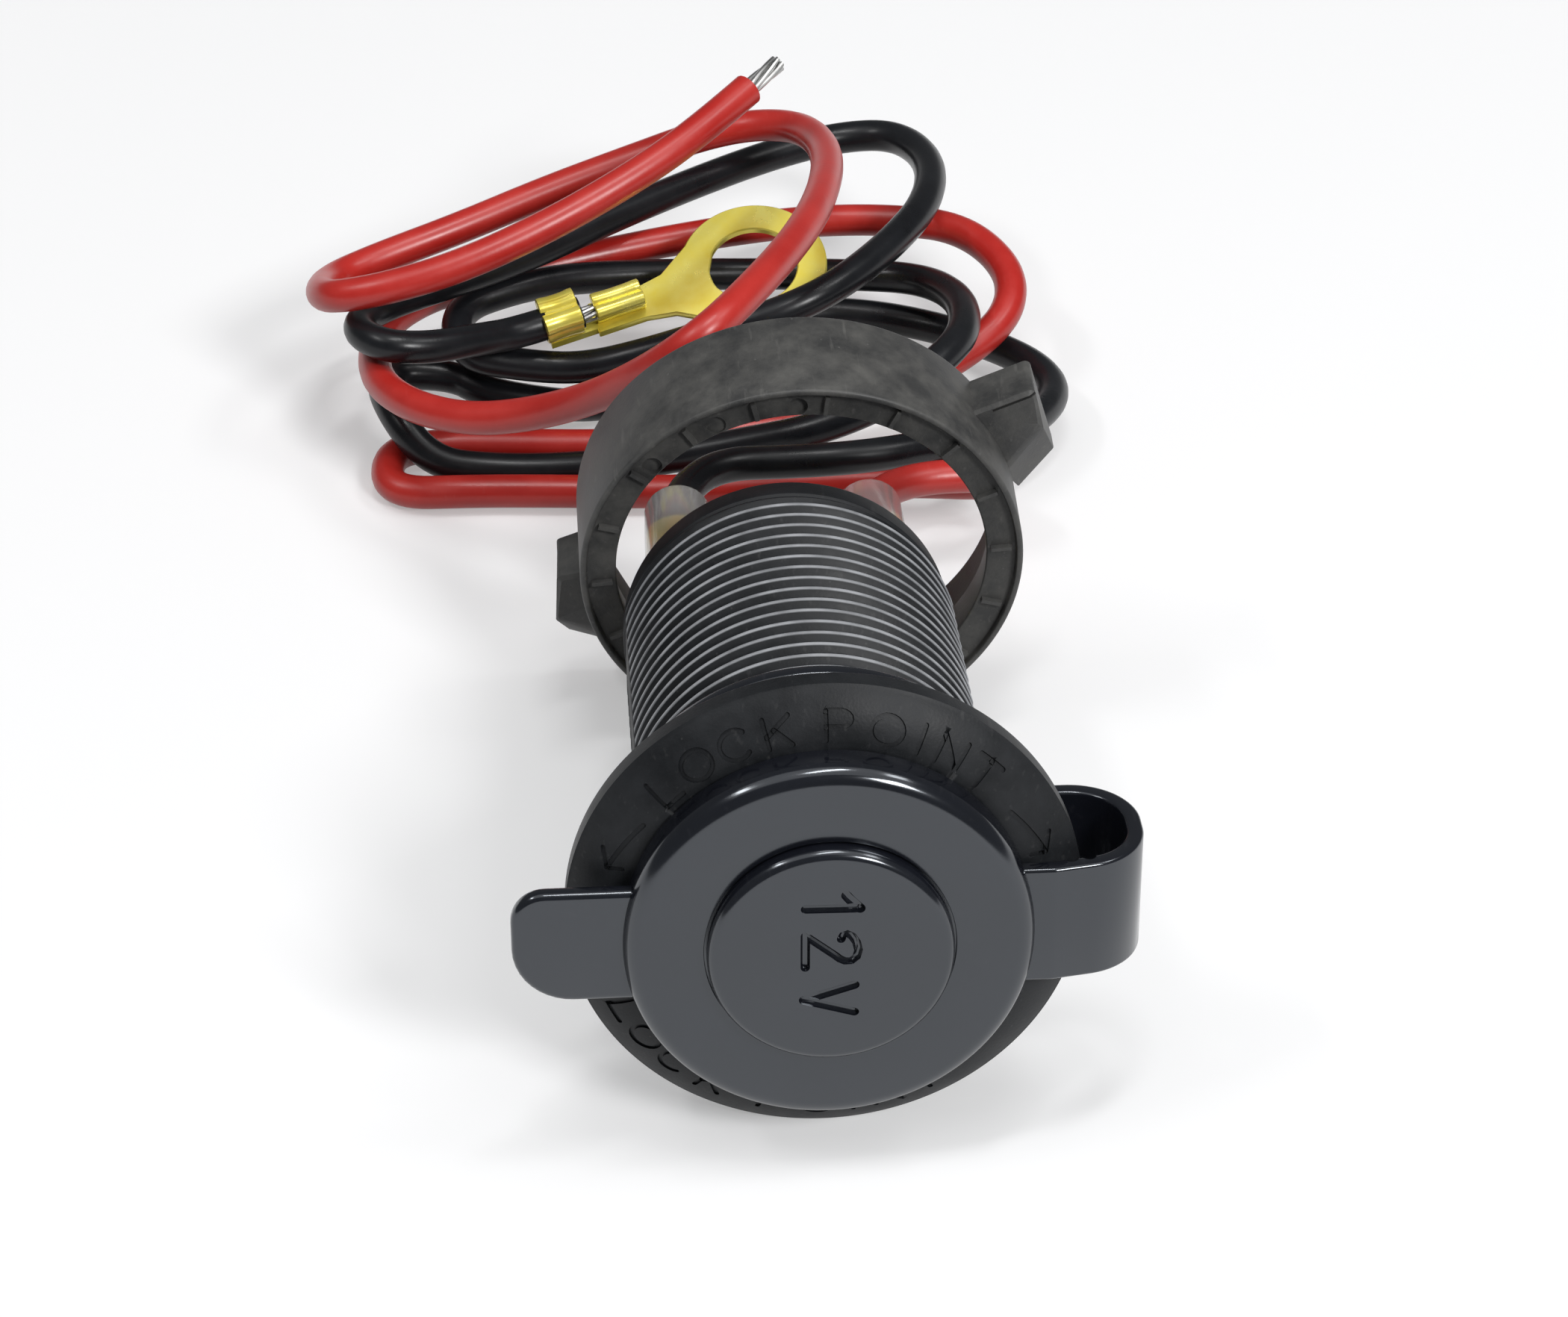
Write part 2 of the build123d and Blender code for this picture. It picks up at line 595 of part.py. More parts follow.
hold_d = wire_d + 2 * wire_clear
roll_y = eye_crimp_d * 0.42
roll_z = strip_z + eye_t / 2 + eye_crimp_d * 0.36
terminal = flat + spine
terminal += bar_x(0, 0, 0, hold_d + 2 * grip_wall, eye_grip_len)
terminal += bar_x(crimp_at, roll_y, roll_z, eye_crimp_d, eye_crimp_len)
terminal += bar_x(crimp_at, -roll_y, roll_z, eye_crimp_d, eye_crimp_len)
terminal -= bar_x(-0.5, 0, 0, hold_d, crimp_at)
terminal -= bar_x(crimp_at - 0.5, 0, roll_z, bare_d + 2 * wire_clear, eye_crimp_len * 0.6 + 0.5)
ring_terminal = term.location * terminal
core_at = eye_grip_len + 0.2
black_conductor = term.location * bar_x(core_at, 0, roll_z, bare_d, crimp_at + eye_crimp_len * 0.5 - core_at)

pieces = {
    "socket_body": lay * socket_body,
    "contact_sleeve": lay * contact_sleeve,
    "insulating_disc": lay * insulating_disc,
    "centre_bush": lay * centre_bush,
    "centre_contact": lay * centre_contact,
    "centre_rivet": lay * centre_rivet,
    "earth_rivet": lay * earth_rivet,
    "live_blade": lay * live_blade,
    "earth_blade": lay * earth_blade,
    "live_connector": lay * live_connector,
    "earth_connector": lay * earth_connector,
    "live_sleeve": lay * live_sleeve,
    "earth_sleeve": lay * earth_sleeve,
    "cap": lay * cap,
    "cap_strap": lay * cap_strap,
    "ring_nut": ring_nut,
    "red_wire": red_wire,
    "red_conductor": red_conductor,
    "black_wire": black_wire,
    "black_conductor": black_conductor,
    "ring_terminal": ring_terminal,
}

# The leads and what is crimped on their free ends don't count for the origin
lead_names = ["red_wire", "red_conductor", "black_wire", "black_conductor", "ring_terminal"]
boxes = [shape.bounding_box() for name, shape in pieces.items() if name not in lead_names]
mid_x = (min(b.min.X for b in boxes) + max(b.max.X for b in boxes)) / 2
mid_y = (min(b.min.Y for b in boxes) + max(b.max.Y for b in boxes)) / 2
low_z = min(b.min.Z for b in boxes)
home = Pos(-mid_x, -mid_y, -low_z)

os.makedirs("parts", exist_ok=True)
for name, shape in pieces.items():
    moved = home * shape
    export_step(moved, f"parts/{name}.step")
    box = moved.bounding_box()
    print(name, "solids", len(moved.solids()), "volume", round(moved.volume, 2), "box", box.min, box.max)
print("home", home.position, "tilt", round(lay_tilt, 4))
print("hinge", (home * lay * Pos(hinge_x, hinge_y, 0)).position)
print("bore middle", (home * lay * Pos(0, cup_front + bore_len / 2, 0)).position)
print("panel seat", (home * lay * Pos(0, 0, 0)).position)
print("axis to the rear", (0, tilt_cos, -tilt_sin), "axis up", (0, tilt_sin, tilt_cos))
print("lead exits", red_out - Vector(mid_x, mid_y, low_z), black_out - Vector(mid_x, mid_y, low_z))
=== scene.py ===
import json
import math

import bmesh
import bpy
import numpy as np
from mathutils import Matrix, Vector


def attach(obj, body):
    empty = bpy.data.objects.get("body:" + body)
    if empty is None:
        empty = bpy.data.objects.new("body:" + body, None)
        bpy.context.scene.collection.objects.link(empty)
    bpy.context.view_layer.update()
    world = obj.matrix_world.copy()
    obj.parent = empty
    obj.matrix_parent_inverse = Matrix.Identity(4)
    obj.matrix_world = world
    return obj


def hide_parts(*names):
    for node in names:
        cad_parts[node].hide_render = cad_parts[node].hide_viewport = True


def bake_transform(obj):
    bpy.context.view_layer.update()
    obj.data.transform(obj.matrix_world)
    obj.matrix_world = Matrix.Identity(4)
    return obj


# A 12 V panel socket on a pale floor, with its cap closed, its loose ring nut behind it
# and its two leads in a loose hank. Sizes are millimetres until a mesh is made in metres.

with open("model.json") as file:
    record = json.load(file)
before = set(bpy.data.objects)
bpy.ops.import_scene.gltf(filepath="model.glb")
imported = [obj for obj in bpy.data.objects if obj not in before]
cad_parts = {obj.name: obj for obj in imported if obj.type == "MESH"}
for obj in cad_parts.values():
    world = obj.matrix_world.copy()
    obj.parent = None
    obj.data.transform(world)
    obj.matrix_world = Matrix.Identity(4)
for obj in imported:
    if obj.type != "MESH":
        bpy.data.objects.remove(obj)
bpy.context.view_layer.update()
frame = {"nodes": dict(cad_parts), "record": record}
MM = 0.001

# The socket's own axes as it lies: x to its right, y to the rear, z up
mounts = {mount["name"]: mount for mount in frame["record"]["mounts"]}
SEAT = np.array(mounts["panel_seat"]["pos_m"])
RIGHT = np.array([1.0, 0.0, 0.0])
REAR = np.array(mounts["panel_seat"]["axis"])
UP = np.cross(RIGHT, REAR)
SOCKET_AXES = np.stack([RIGHT, REAR, UP])
# From the middle of the flange's foot on the floor to the row's origin
HOME = np.array([SEAT[0] / MM, SEAT[1] / MM, 0.0])

# Photograph: frame, focal length in its pixels, and where the camera stood and looked
PHOTO_WIDTH = 2100
FOCAL_PX = 5719.14
SENSOR_MM = 36.0
CAMERA_MM = (-21.401, -244.191, 234.401)
CAMERA_FORWARD = (0.05849, 0.78481, -0.61696)
CAMERA_RIGHT = (0.99771, -0.06689, 0.00949)

# Socket body
ROUND = 240
THREAD_R = 14.25
THREAD_DEPTH = 0.65
PITCH = 1.77
THREAD_LOW = 1.2
THREAD_HIGH = 39.0
RUN_OUT = 1.1
FLAT_X = 13.65
BODY_LEN = 41.6
REAR_R = 13.8
REAR_CUP_R = 12.2
FLANGE_R = 19.7
FLANGE_RIM = 1.8
FLANGE_T = 4.0
FLANGE_BULGE = 0.35
SEAT_R = 15.9
MOUTH_R = 10.9
CUP_HOLE_R = 11.45
CUP_FRONT = 3.4
CUP_BACK = 35.4
WALL_BACK = 37.8
ROOT_R = THREAD_R - THREAD_DEPTH

# Cap and strap
CAP_R = 15.5
CAP_BACK = -4.08
CAP_FACE = -7.48
CAP_EDGE_R = 1.4
CAP_RIM = 1.7
CAP_TOP = 2.0
BOSS_R = 9.3
BOSS_FACE = -8.78
BOSS_EDGE_R = 0.75
PLUG_R = 10.4
PLUG_END_R = 9.6
PLUG_WALL = 1.5
PLUG_LEN = 5.2
TAB_REACH = 23.8
TAB_W = 9.6
TAB_FRONT = -6.18
TAB_T = 1.4
TAB_R_TOP = 2.6
TAB_R_LOW = 4.6
LUG_END = 17.0
STRAP_T = 1.3
STRAP_W = 10.0
STRAP_Y = -4.8
STRAP_BACK_Y = 6.05
STRAP_REACH = 24.4
STRAP_BEND_R = 4.6
STRAP_RISE = 1.2
HINGE_X = 19.4
NOTCH_R = 0.55
RING_IN = 14.5
RING_BAND = 1.9

# Ring nut
NUT_R = 18.7
NUT_W = 10.4
NUT_BORE_R = 15.6
NUT_FLARE_R = 16.3
NUT_WEB = 5.2
NUT_BACK_R = 17.3
NUT_LIP = 0.55
NUT_RECESS = 0.7
NUT_RIBS = 18
NUT_X = 1.4
NUT_FOOT = 43.104
NUT_LEAN = math.radians(2.4)
WING_TURN = math.radians(24.0)
WING_REACH = 23.5
WING_FRONT = 5.4
WING_SLOPE = 3.2
TOOTH_R = 13.95
TOOTH_START = 45.0
TOOTH_ARC = 80.0

# Leads
WIRE_D = 3.1
BARE_D = 1.7
BARE_LEN = 4.4
BLADE_X = 8.4
BLADE_Z = 0.0
GRIP_FRONT = 52.6
SLEEVE_FRONT = 39.8
SLEEVE_LEN = 19.0
SLEEVE_LONG = 9.6
SLEEVE_SHORT = 5.8
SLEEVE_WALL = 0.5
LEAD_OUT = 0.4
RED_ROUTE = [
    (8.9, 63.6, 10.2), (13.4, 67.8, 9.4), (21.2, 68.4, 9.0), (21.2, 73.9, 4.0), (14.0, 74.5, 4.2),
    (4.6, 75.7, 3.4), (-2.7, 76.7, 2.3), (-10.9, 77.4, 1.8), (-19.0, 78.0, 1.8), (-26.0, 78.4, 1.8),
    (-34.4, 78.4, 1.8), (-34.4, 85.2, 1.8), (-28.6, 86.1, 1.8), (-21.1, 85.2, 2.0), (-12.8, 84.1, 2.4),
    (-3.8, 84.2, 3.0), (5.3, 84.9, 4.0), (13.8, 87.4, 5.4), (21.0, 91.4, 7.0), (25.3, 95.3, 8.8),
    (25.7, 100.8, 10.2), (21.7, 107.6, 10.6), (14.8, 109.7, 10.4), (7.0, 110.5, 10.0),
    (-0.8, 109.8, 9.6), (-8.7, 108.3, 9.2), (-16.6, 106.3, 8.8), (-24.0, 103.5, 8.6),
    (-30.2, 101.4, 8.6), (-34.9, 95.1, 9.2), (-35.5, 85.0, 10.6), (-32.2, 78.0, 12.0),
    (-26.8, 73.3, 13.4), (-21.0, 70.6, 15.6), (-15.3, 67.3, 19.5), (-10.2, 62.7, 25.5),
    (-5.7, 61.7, 29.8), (-1.5, 67.7, 30.0), (3.1, 78.4, 28.0), (6.4, 89.6, 25.5), (8.3, 103.0, 22.0),
    (6.7, 112.4, 19.5), (1.9, 116.4, 17.6), (-3.6, 116.1, 16.6), (-10.4, 113.1, 15.8),
    (-18.3, 109.7, 14.8), (-27.3, 105.4, 13.4), (-35.3, 102.2, 12.2), (-40.0, 98.5, 12.2),
    (-39.9, 88.4, 17.0), (-34.5, 86.7, 18.8), (-27.1, 87.7, 20.4), (-18.9, 90.7, 22.6),
    (-11.0, 94.7, 25.0), (-4.5, 99.4, 27.0), (0.5, 104.4, 28.6),
]
BLACK_ROUTE = [
    (-8.1, 64.2, 10.9), (-4.4, 69.2, 10.6), (2.3, 70.3, 9.8), (9.3, 70.7, 9.8), (16.9, 74.1, 8.6),
    (25.4, 80.0, 6.2), (29.2, 87.4, 4.6), (27.3, 93.5, 4.2), (20.3, 99.3, 4.0), (13.6, 102.3, 4.0),
    (7.4, 103.4, 4.0), (1.4, 101.7, 3.8), (-4.3, 96.8, 3.5), (-9.5, 91.3, 3.3), (-14.9, 89.4, 3.2),
    (-20.6, 90.2, 3.5), (-25.4, 91.5, 4.0), (-28.2, 93.6, 4.6), (-35.0, 93.0, 5.4), (-34.0, 85.2, 6.6),
    (-30.4, 81.5, 3.0), (-24.5, 81.5, 1.9), (-16.5, 81.2, 2.0), (-9.0, 80.6, 3.2), (-1.5, 79.2, 5.6),
    (5.5, 77.2, 8.4), (12.5, 78.2, 11.0), (18.2, 83.2, 12.6), (20.2, 88.3, 12.0), (20.3, 95.6, 10.4),
    (17.4, 102.7, 8.0), (10.6, 105.3, 7.0), (1.7, 105.9, 7.0), (-8.1, 105.0, 7.8), (-16.3, 103.0, 9.0),
    (-21.9, 100.1, 10.0), (-27.8, 97.2, 9.6), (-27.2, 90.8, 8.6), (-20.5, 90.4, 7.4),
    (-15.6, 90.0, 7.3), (-9.5, 89.4, 9.2), (-3.6, 88.2, 12.0), (2.4, 87.8, 14.2), (7.8, 90.1, 15.4),
    (13.6, 96.6, 15.8), (18.0, 104.5, 15.6), (19.2, 113.6, 14.5), (16.5, 120.6, 13.4),
    (11.0, 121.9, 12.6), (4.1, 119.3, 12.4), (-3.7, 114.2, 12.6), (-12.2, 107.6, 13.0),
    (-20.8, 100.4, 13.3), (-28.5, 96.0, 13.3), (-34.9, 92.8, 13.0), (-37.0, 87.4, 14.2),
    (-34.2, 83.8, 14.6), (-30.0, 84.5, 13.8), (-25.4, 87.5, 12.6), (-21.8, 90.6, 11.1),
]

# Ring terminal on the black lead
EYE_START = np.array([-19.5, 91.2, 11.5])
EYE_ALONG = np.array([0.953, 0.243, 0.182])
EYE_UP = np.array([-0.081, -0.373, 0.924])
EYE_R = 7.0
EYE_HOLE_R = 4.2
EYE_T = 0.8
GRIP_LEN = 3.6
CRIMP_AT = 5.1
CRIMP_LEN = 4.8
EYE_AT = 21.0


def on_socket(points):
    """Socket millimetres to metres: the seat plus each number along its own axis of the socket."""
    return SEAT + MM * (np.asarray(points, float) @ SOCKET_AXES)


def on_floor(points):
    """Millimetres from the flange's foot on the floor to metres in the row's frame."""
    return MM * (np.asarray(points, float) + HOME)


def on_nut(points):
    """Nut millimetres to metres: turned so the wings slope, stood on its rim and leant forward."""
    x, y, z = np.moveaxis(np.asarray(points, float), -1, 0)
    across = x * math.cos(WING_TURN) - z * math.sin(WING_TURN)
    height = x * math.sin(WING_TURN) + z * math.cos(WING_TURN) + NUT_R
    back = y * math.cos(NUT_LEAN) - height * math.sin(NUT_LEAN)
    rise = y * math.sin(NUT_LEAN) + height * math.cos(NUT_LEAN)
    return on_floor(np.stack([across + NUT_X, back + NUT_FOOT, rise], -1))


EYE_X = EYE_ALONG / np.linalg.norm(EYE_ALONG)
EYE_Y = np.cross(EYE_UP, EYE_X)
EYE_Y = EYE_Y / np.linalg.norm(EYE_Y)
EYE_Z = np.cross(EYE_X, EYE_Y)


def on_terminal(points):
    """Terminal millimetres to metres: x along the crimped wire, z away from the strip's upper side."""
    return on_floor(EYE_START + np.asarray(points, float) @ np.stack([EYE_X, EYE_Y, EYE_Z]))


def quad_corners(rows, columns, wrap_rows, wrap_columns):
    """Corner numbers of the quads between neighbours on a grid of points."""
    row, column = np.meshgrid(
        np.arange(rows if wrap_rows else rows - 1),
        np.arange(columns if wrap_columns else columns - 1),
        indexing="ij",
    )
    down = (row + 1) % rows
    across = (column + 1) % columns
    here = row * columns
    below = down * columns
    corners = [here + column, below + column, below + across, here + across]
    return np.stack(corners, -1).reshape(-1, 4)


def closed_ends(grid):
    """A tube's grid with a row gathered at the middle of each end, so that its ends are shut."""
    first = np.broadcast_to(grid[0].mean(0), grid[0].shape)
    last = np.broadcast_to(grid[-1].mean(0), grid[-1].shape)
    return np.concatenate([first[None], grid, last[None]])


def tube(grid):
    """A sheet whose columns go round and whose ends are shut."""
    return closed_ends(grid), False, True


def loop(grid):
    """A sheet that goes round both ways, as a ring does."""
    return grid, True, True


MERGE_M = 2e-6


def shell_mesh(name, sheets):
    """One mesh from (grid in metres, wrap rows, wrap columns) sheets: quads between neighbours,
    merged where sheets meet, with every face turned outwards."""
    points = np.concatenate([grid.reshape(-1, 3) for grid, _, _ in sheets])
    corners = []
    start = 0
    for grid, wrap_rows, wrap_columns in sheets:
        corners.append(quad_corners(grid.shape[0], grid.shape[1], wrap_rows, wrap_columns) + start)
        start += grid.shape[0] * grid.shape[1]
    mesh = bpy.data.meshes.new(name)
    mesh.from_pydata(points, [], np.concatenate(corners))
    work = bmesh.new()
    work.from_mesh(mesh)
    bmesh.ops.remove_doubles(work, verts=work.verts, dist=MERGE_M)
    bmesh.ops.recalc_face_normals(work, faces=work.faces)
    work.to_mesh(mesh)
    work.free()
    return mesh


def carved(target, tool, operation):
    """Joins or cuts one mesh with another and gives the mesh that is left."""
    block = bpy.data.objects.new("carve_block", target)
    blade = bpy.data.objects.new("carve_blade", tool)
    bpy.context.scene.collection.objects.link(block)
    bpy.context.scene.collection.objects.link(blade)
    step = block.modifiers.new("carve", "BOOLEAN")
    step.operation = operation
    step.solver = "EXACT"
    step.use_self = True
    step.object = blade
    bpy.context.view_layer.update()
    done = bpy.data.meshes.new_from_object(block.evaluated_get(bpy.context.evaluated_depsgraph_get()))
    bpy.data.objects.remove(block)
    bpy.data.objects.remove(blade)
    return done


def make_piece(name, mesh, material, body="socket", crease=32.0):
    """An object at the origin from a finished mesh, smooth up to the crease angle, riding on a body."""
    mesh.materials.clear()
    mesh.materials.append(material)
    mesh.polygons.foreach_set("use_smooth", np.ones(len(mesh.polygons), bool))
    mesh.set_sharp_from_angle(angle=math.radians(crease))
    piece = bpy.data.objects.new(name, mesh)
    bpy.context.scene.collection.objects.link(piece)
    if body is not None:
        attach(piece, body)
    return piece


def rounded(corners, radii, steps=5, closed=True):
    """An outline with its corners rounded: at each corner an arc from where the radius touches one side
    to where it touches the next."""
    corners = np.asarray(corners, float)
    count = len(corners)
    out = []
    for i, radius in enumerate(radii):
        here = corners[i]
        ends = not closed and i in (0, count - 1)
        if radius <= 0 or ends:
            out.append(here[None])
            continue
        back = corners[i - 1] - here
        ahead = corners[(i + 1) % count] - here
        back = back / np.linalg.norm(back)
        ahead = ahead / np.linalg.norm(ahead)
        half = math.acos(np.clip(back @ ahead, -1.0, 1.0)) / 2
        centre = here + (back + ahead) / np.linalg.norm(back + ahead) * radius / math.sin(half)
        first = here + back * radius / math.tan(half) - centre
        last = here + ahead * radius / math.tan(half) - centre
        swing = math.pi - 2 * half
        share = np.linspace(0.0, 1.0, steps + 1)[:, None]
        arc = np.sin((1 - share) * swing) * first + np.sin(share * swing) * last
        out.append(centre + arc / math.sin(swing))
    return np.concatenate(out)


def turned(outline, count=ROUND):
    """Each (radius, y) of an outline carried once round the Y axis."""
    radius, along = np.asarray(outline, float).T
    angle = np.linspace(0.0, 2 * math.pi, count, endpoint=False)
    x = radius[:, None] * np.cos(angle)
    z = radius[:, None] * np.sin(angle)
    return np.stack([x, np.repeat(along[:, None], count, 1), z], -1)


def plate(outline, front, back, edge, steps=4):
    """A flat plate across Y with rounded edges: the outline is drawn in by a quarter circle
    at the front and let out again at the back. Its faces are left open here, for tube to shut at their
    middles."""
    outline = np.asarray(outline, float)
    ahead = np.roll(outline, -1, 0) - np.roll(outline, 1, 0)
    inward = np.stack([-ahead[:, 1], ahead[:, 0]], -1) / np.linalg.norm(ahead, axis=1)[:, None]
    middle = outline.mean(0)
    inward *= np.sign(np.sum((middle - outline) * inward))
    angle = np.linspace(0.0, math.pi / 2, steps + 1)
    draw = edge * (1 - np.sin(angle))
    level = edge * (1 - np.cos(angle))
    depth = np.concatenate([front + level, back - level[::-1]])
    draw = np.concatenate([draw, draw[::-1]])
    flat = outline + draw[:, None, None] * inward
    return np.stack([flat[..., 0], np.broadcast_to(depth[:, None], flat.shape[:2]), flat[..., 1]], -1)


# Materials

FLOAT = "NodeSocketFloat"
COLOUR = "NodeSocketColor"


def node_group(name, inputs, outputs):
    """An empty shader group with named sockets: the group, what it is given and its output node."""
    tree = bpy.data.node_groups.new(name, "ShaderNodeTree")
    for label, kind, value in inputs:
        socket = tree.interface.new_socket(label, in_out="INPUT", socket_type=kind)
        socket.default_value = value
    for label, kind in outputs:
        tree.interface.new_socket(label, in_out="OUTPUT", socket_type=kind)
    return tree, tree.nodes.new("NodeGroupInput").outputs, tree.nodes.new("NodeGroupOutput")


def feed(tree, node, inputs):
    """Gives each named input of a node a plain value or another node's output."""
    for label, value in inputs.items():
        if isinstance(value, bpy.types.NodeSocket):
            tree.links.new(value, node.inputs[label])
        else:
            node.inputs[label].default_value = value


def math_step(tree, operation, first, second=None):
    """One step of arithmetic on one or two values."""
    node = tree.nodes.new("ShaderNodeMath")
    node.operation = operation
    feed(tree, node, {0: first} if second is None else {0: first, 1: second})
    return node.outputs[0]


def ramp(tree, value, low, high, start=0.0, end=1.0):
    """A value carried from the range low to high over to the range start to end."""
    node = tree.nodes.new("ShaderNodeMapRange")
    feed(tree, node, {"Value": value, "From Min": low, "From Max": high, "To Min": start, "To Max": end})
    return node.outputs["Result"]


def mixed(tree, mask, first, second, kind="RGBA"):
    """The first value where the mask is nothing and the second where it is all."""
    node = tree.nodes.new("ShaderNodeMix")
    node.data_type = kind
    feed(tree, node, {"Factor": mask, "A": first, "B": second})
    return node.outputs["Result"]


def noise(tree, place, scale, detail, roughness=0.5):
    """Soft noise at a place."""
    node = tree.nodes.new("ShaderNodeTexNoise")
    feed(tree, node, {"Vector": place, "Scale": scale, "Detail": detail, "Roughness": roughness})
    return node.outputs["Fac"]


def object_place(tree):
    """Where a point lies in its object."""
    return tree.nodes.new("ShaderNodeTexCoord").outputs["Object"]


def build_skin_grain():
    """Fine grain for height, and slow clouds that lighten the colour and change the roughness."""
    tree, given, result = node_group(
        "skin_grain",
        [("Colour", COLOUR, (0.02, 0.02, 0.02, 1)), ("Pale", COLOUR, (0.05, 0.05, 0.05, 1)),
         ("Grain", FLOAT, 5000.0), ("Clouds", FLOAT, 160.0),
         ("Rough Low", FLOAT, 0.4), ("Rough High", FLOAT, 0.6)],
        [("Colour", COLOUR), ("Roughness", FLOAT), ("Height", FLOAT)],
    )
    place = object_place(tree)
    clouds = noise(tree, place, given["Clouds"], 5.0, 0.62)
    spread = ramp(tree, clouds, 0.35, 0.7)
    feed(tree, result, {
        "Colour": mixed(tree, spread, given["Colour"], given["Pale"]),
        "Roughness": ramp(tree, spread, 0.0, 1.0, given["Rough Low"], given["Rough High"]),
        "Height": noise(tree, place, given["Grain"], 2.0),
    })
    return tree


def build_scuffs():
    """Fine rubbed lines and dust: stretched noise above a threshold, and small round specks."""
    tree, given, result = node_group(
        "scuffs",
        [("Base", COLOUR, (0.02, 0.02, 0.02, 1)), ("Mark", COLOUR, (0.2, 0.2, 0.2, 1)),
         ("Scale", FLOAT, 260.0), ("Amount", FLOAT, 0.3)],
        [("Colour", COLOUR), ("Mask", FLOAT)],
    )
    place = object_place(tree)
    stretch = tree.nodes.new("ShaderNodeMapping")
    feed(tree, stretch, {"Vector": place, "Rotation": (0.5, 0.9, 0.3), "Scale": (7.0, 1.0, 5.0)})
    lines = ramp(tree, noise(tree, stretch.outputs["Vector"], given["Scale"], 4.0), 0.62, 0.78)
    specks = tree.nodes.new("ShaderNodeTexVoronoi")
    feed(tree, specks, {"Vector": place, "Scale": math_step(tree, "MULTIPLY", given["Scale"], 2.3)})
    dots = ramp(tree, specks.outputs["Distance"], 0.07, 0.03)
    mask = math_step(tree, "MULTIPLY", math_step(tree, "MAXIMUM", lines, dots), given["Amount"])
    feed(tree, result, {"Colour": mixed(tree, mask, given["Base"], given["Mark"]), "Mask": mask})
    return tree


CREST_LOW = 0.13
CREST_HIGH = 0.03


def build_painted_crest_highlight():
    """How far a point stands out from the socket's axis: nothing in the valleys of the thread and all
    on each rib's crest, where a painted highlight is laid: pale colour in place of the lamps' shine, with
    a smoother finish."""
    tree, given, result = node_group(
        "painted_crest_highlight",
        [("Base", COLOUR, (0.02, 0.02, 0.02, 1)), ("Crest", COLOUR, (0.3, 0.3, 0.3, 1)),
         ("Base Roughness", FLOAT, 0.5), ("Crest Roughness", FLOAT, 0.3)],
        [("Colour", COLOUR), ("Roughness", FLOAT)],
    )
    place = object_place(tree)
    lay = tree.nodes.new("ShaderNodeMapping")
    lay.vector_type = "TEXTURE"
    feed(tree, lay, {"Vector": place, "Location": SEAT, "Rotation": (math.atan2(REAR[2], REAR[1]), 0, 0)})
    split = tree.nodes.new("ShaderNodeSeparateXYZ")
    feed(tree, split, {"Vector": lay.outputs["Vector"]})
    sides = (split.outputs["X"], split.outputs["Z"])
    squares = [math_step(tree, "MULTIPLY", side, side) for side in sides]
    away = math_step(tree, "SQRT", math_step(tree, "ADD", *squares))
    crest = ramp(tree, away, (THREAD_R - CREST_LOW) * MM, (THREAD_R - CREST_HIGH) * MM)
    behind = math_step(tree, "GREATER_THAN", split.outputs["Y"], THREAD_LOW * MM)
    patchy_highlight = ramp(tree, noise(tree, place, 420.0, 4.0), 0.3, 0.62, 0.55)
    mask = math_step(tree, "MULTIPLY", math_step(tree, "MULTIPLY", crest, behind), patchy_highlight)
    feed(tree, result, {
        "Colour": mixed(tree, mask, given["Base"], given["Crest"]),
        "Roughness": mixed(tree, mask, given["Base Roughness"], given["Crest Roughness"], "FLOAT"),
    })
    return tree


SKIN_GRAIN = build_skin_grain()
SCUFFS = build_scuffs()


def finish(name, colour, pale, grain, clouds, rough, bump, scuff=0.0, mark=None, metal=0.0, specular=0.5):
    """A material of skin grain and scuffs on one surface shader."""
    material = bpy.data.materials.new(name)
    material.use_nodes = True
    tree = material.node_tree
    surface = tree.nodes["Principled BSDF"]
    surface.inputs["Metallic"].default_value = metal
    surface.inputs["Specular IOR Level"].default_value = specular
    skin = tree.nodes.new("ShaderNodeGroup")
    skin.node_tree = SKIN_GRAIN
    feed(tree, skin, {"Colour": (*colour, 1), "Pale": (*pale, 1), "Grain": grain, "Clouds": clouds,
                      "Rough Low": rough[0], "Rough High": rough[1]})
    tint = skin.outputs["Colour"]
    if scuff > 0:
        rub = tree.nodes.new("ShaderNodeGroup")
        rub.node_tree = SCUFFS
        feed(tree, rub, {"Base": tint, "Mark": (*mark, 1), "Amount": scuff})
        tint = rub.outputs["Colour"]
    relief = tree.nodes.new("ShaderNodeBump")
    feed(tree, relief, {"Strength": 1.0, "Distance": bump * MM, "Height": skin.outputs["Height"]})
    feed(tree, surface, {"Base Color": tint, "Roughness": skin.outputs["Roughness"],
                         "Normal": relief.outputs["Normal"]})
    return material


matt_black = finish("matt_black_moulding", (0.038, 0.038, 0.0378), (0.096, 0.094, 0.088), 3800, 330,
                    (0.46, 0.60), 0.018, scuff=0.40, mark=(0.18, 0.175, 0.165))
threaded_black = finish("threaded_black_moulding", (0.0065, 0.0075, 0.009), (0.018, 0.0195, 0.022),
                        4200, 230, (0.44, 0.56), 0.012, scuff=0.30, mark=(0.08, 0.08, 0.08),
                        specular=0.28)
body_tree = threaded_black.node_tree
body_surface = body_tree.nodes["Principled BSDF"]
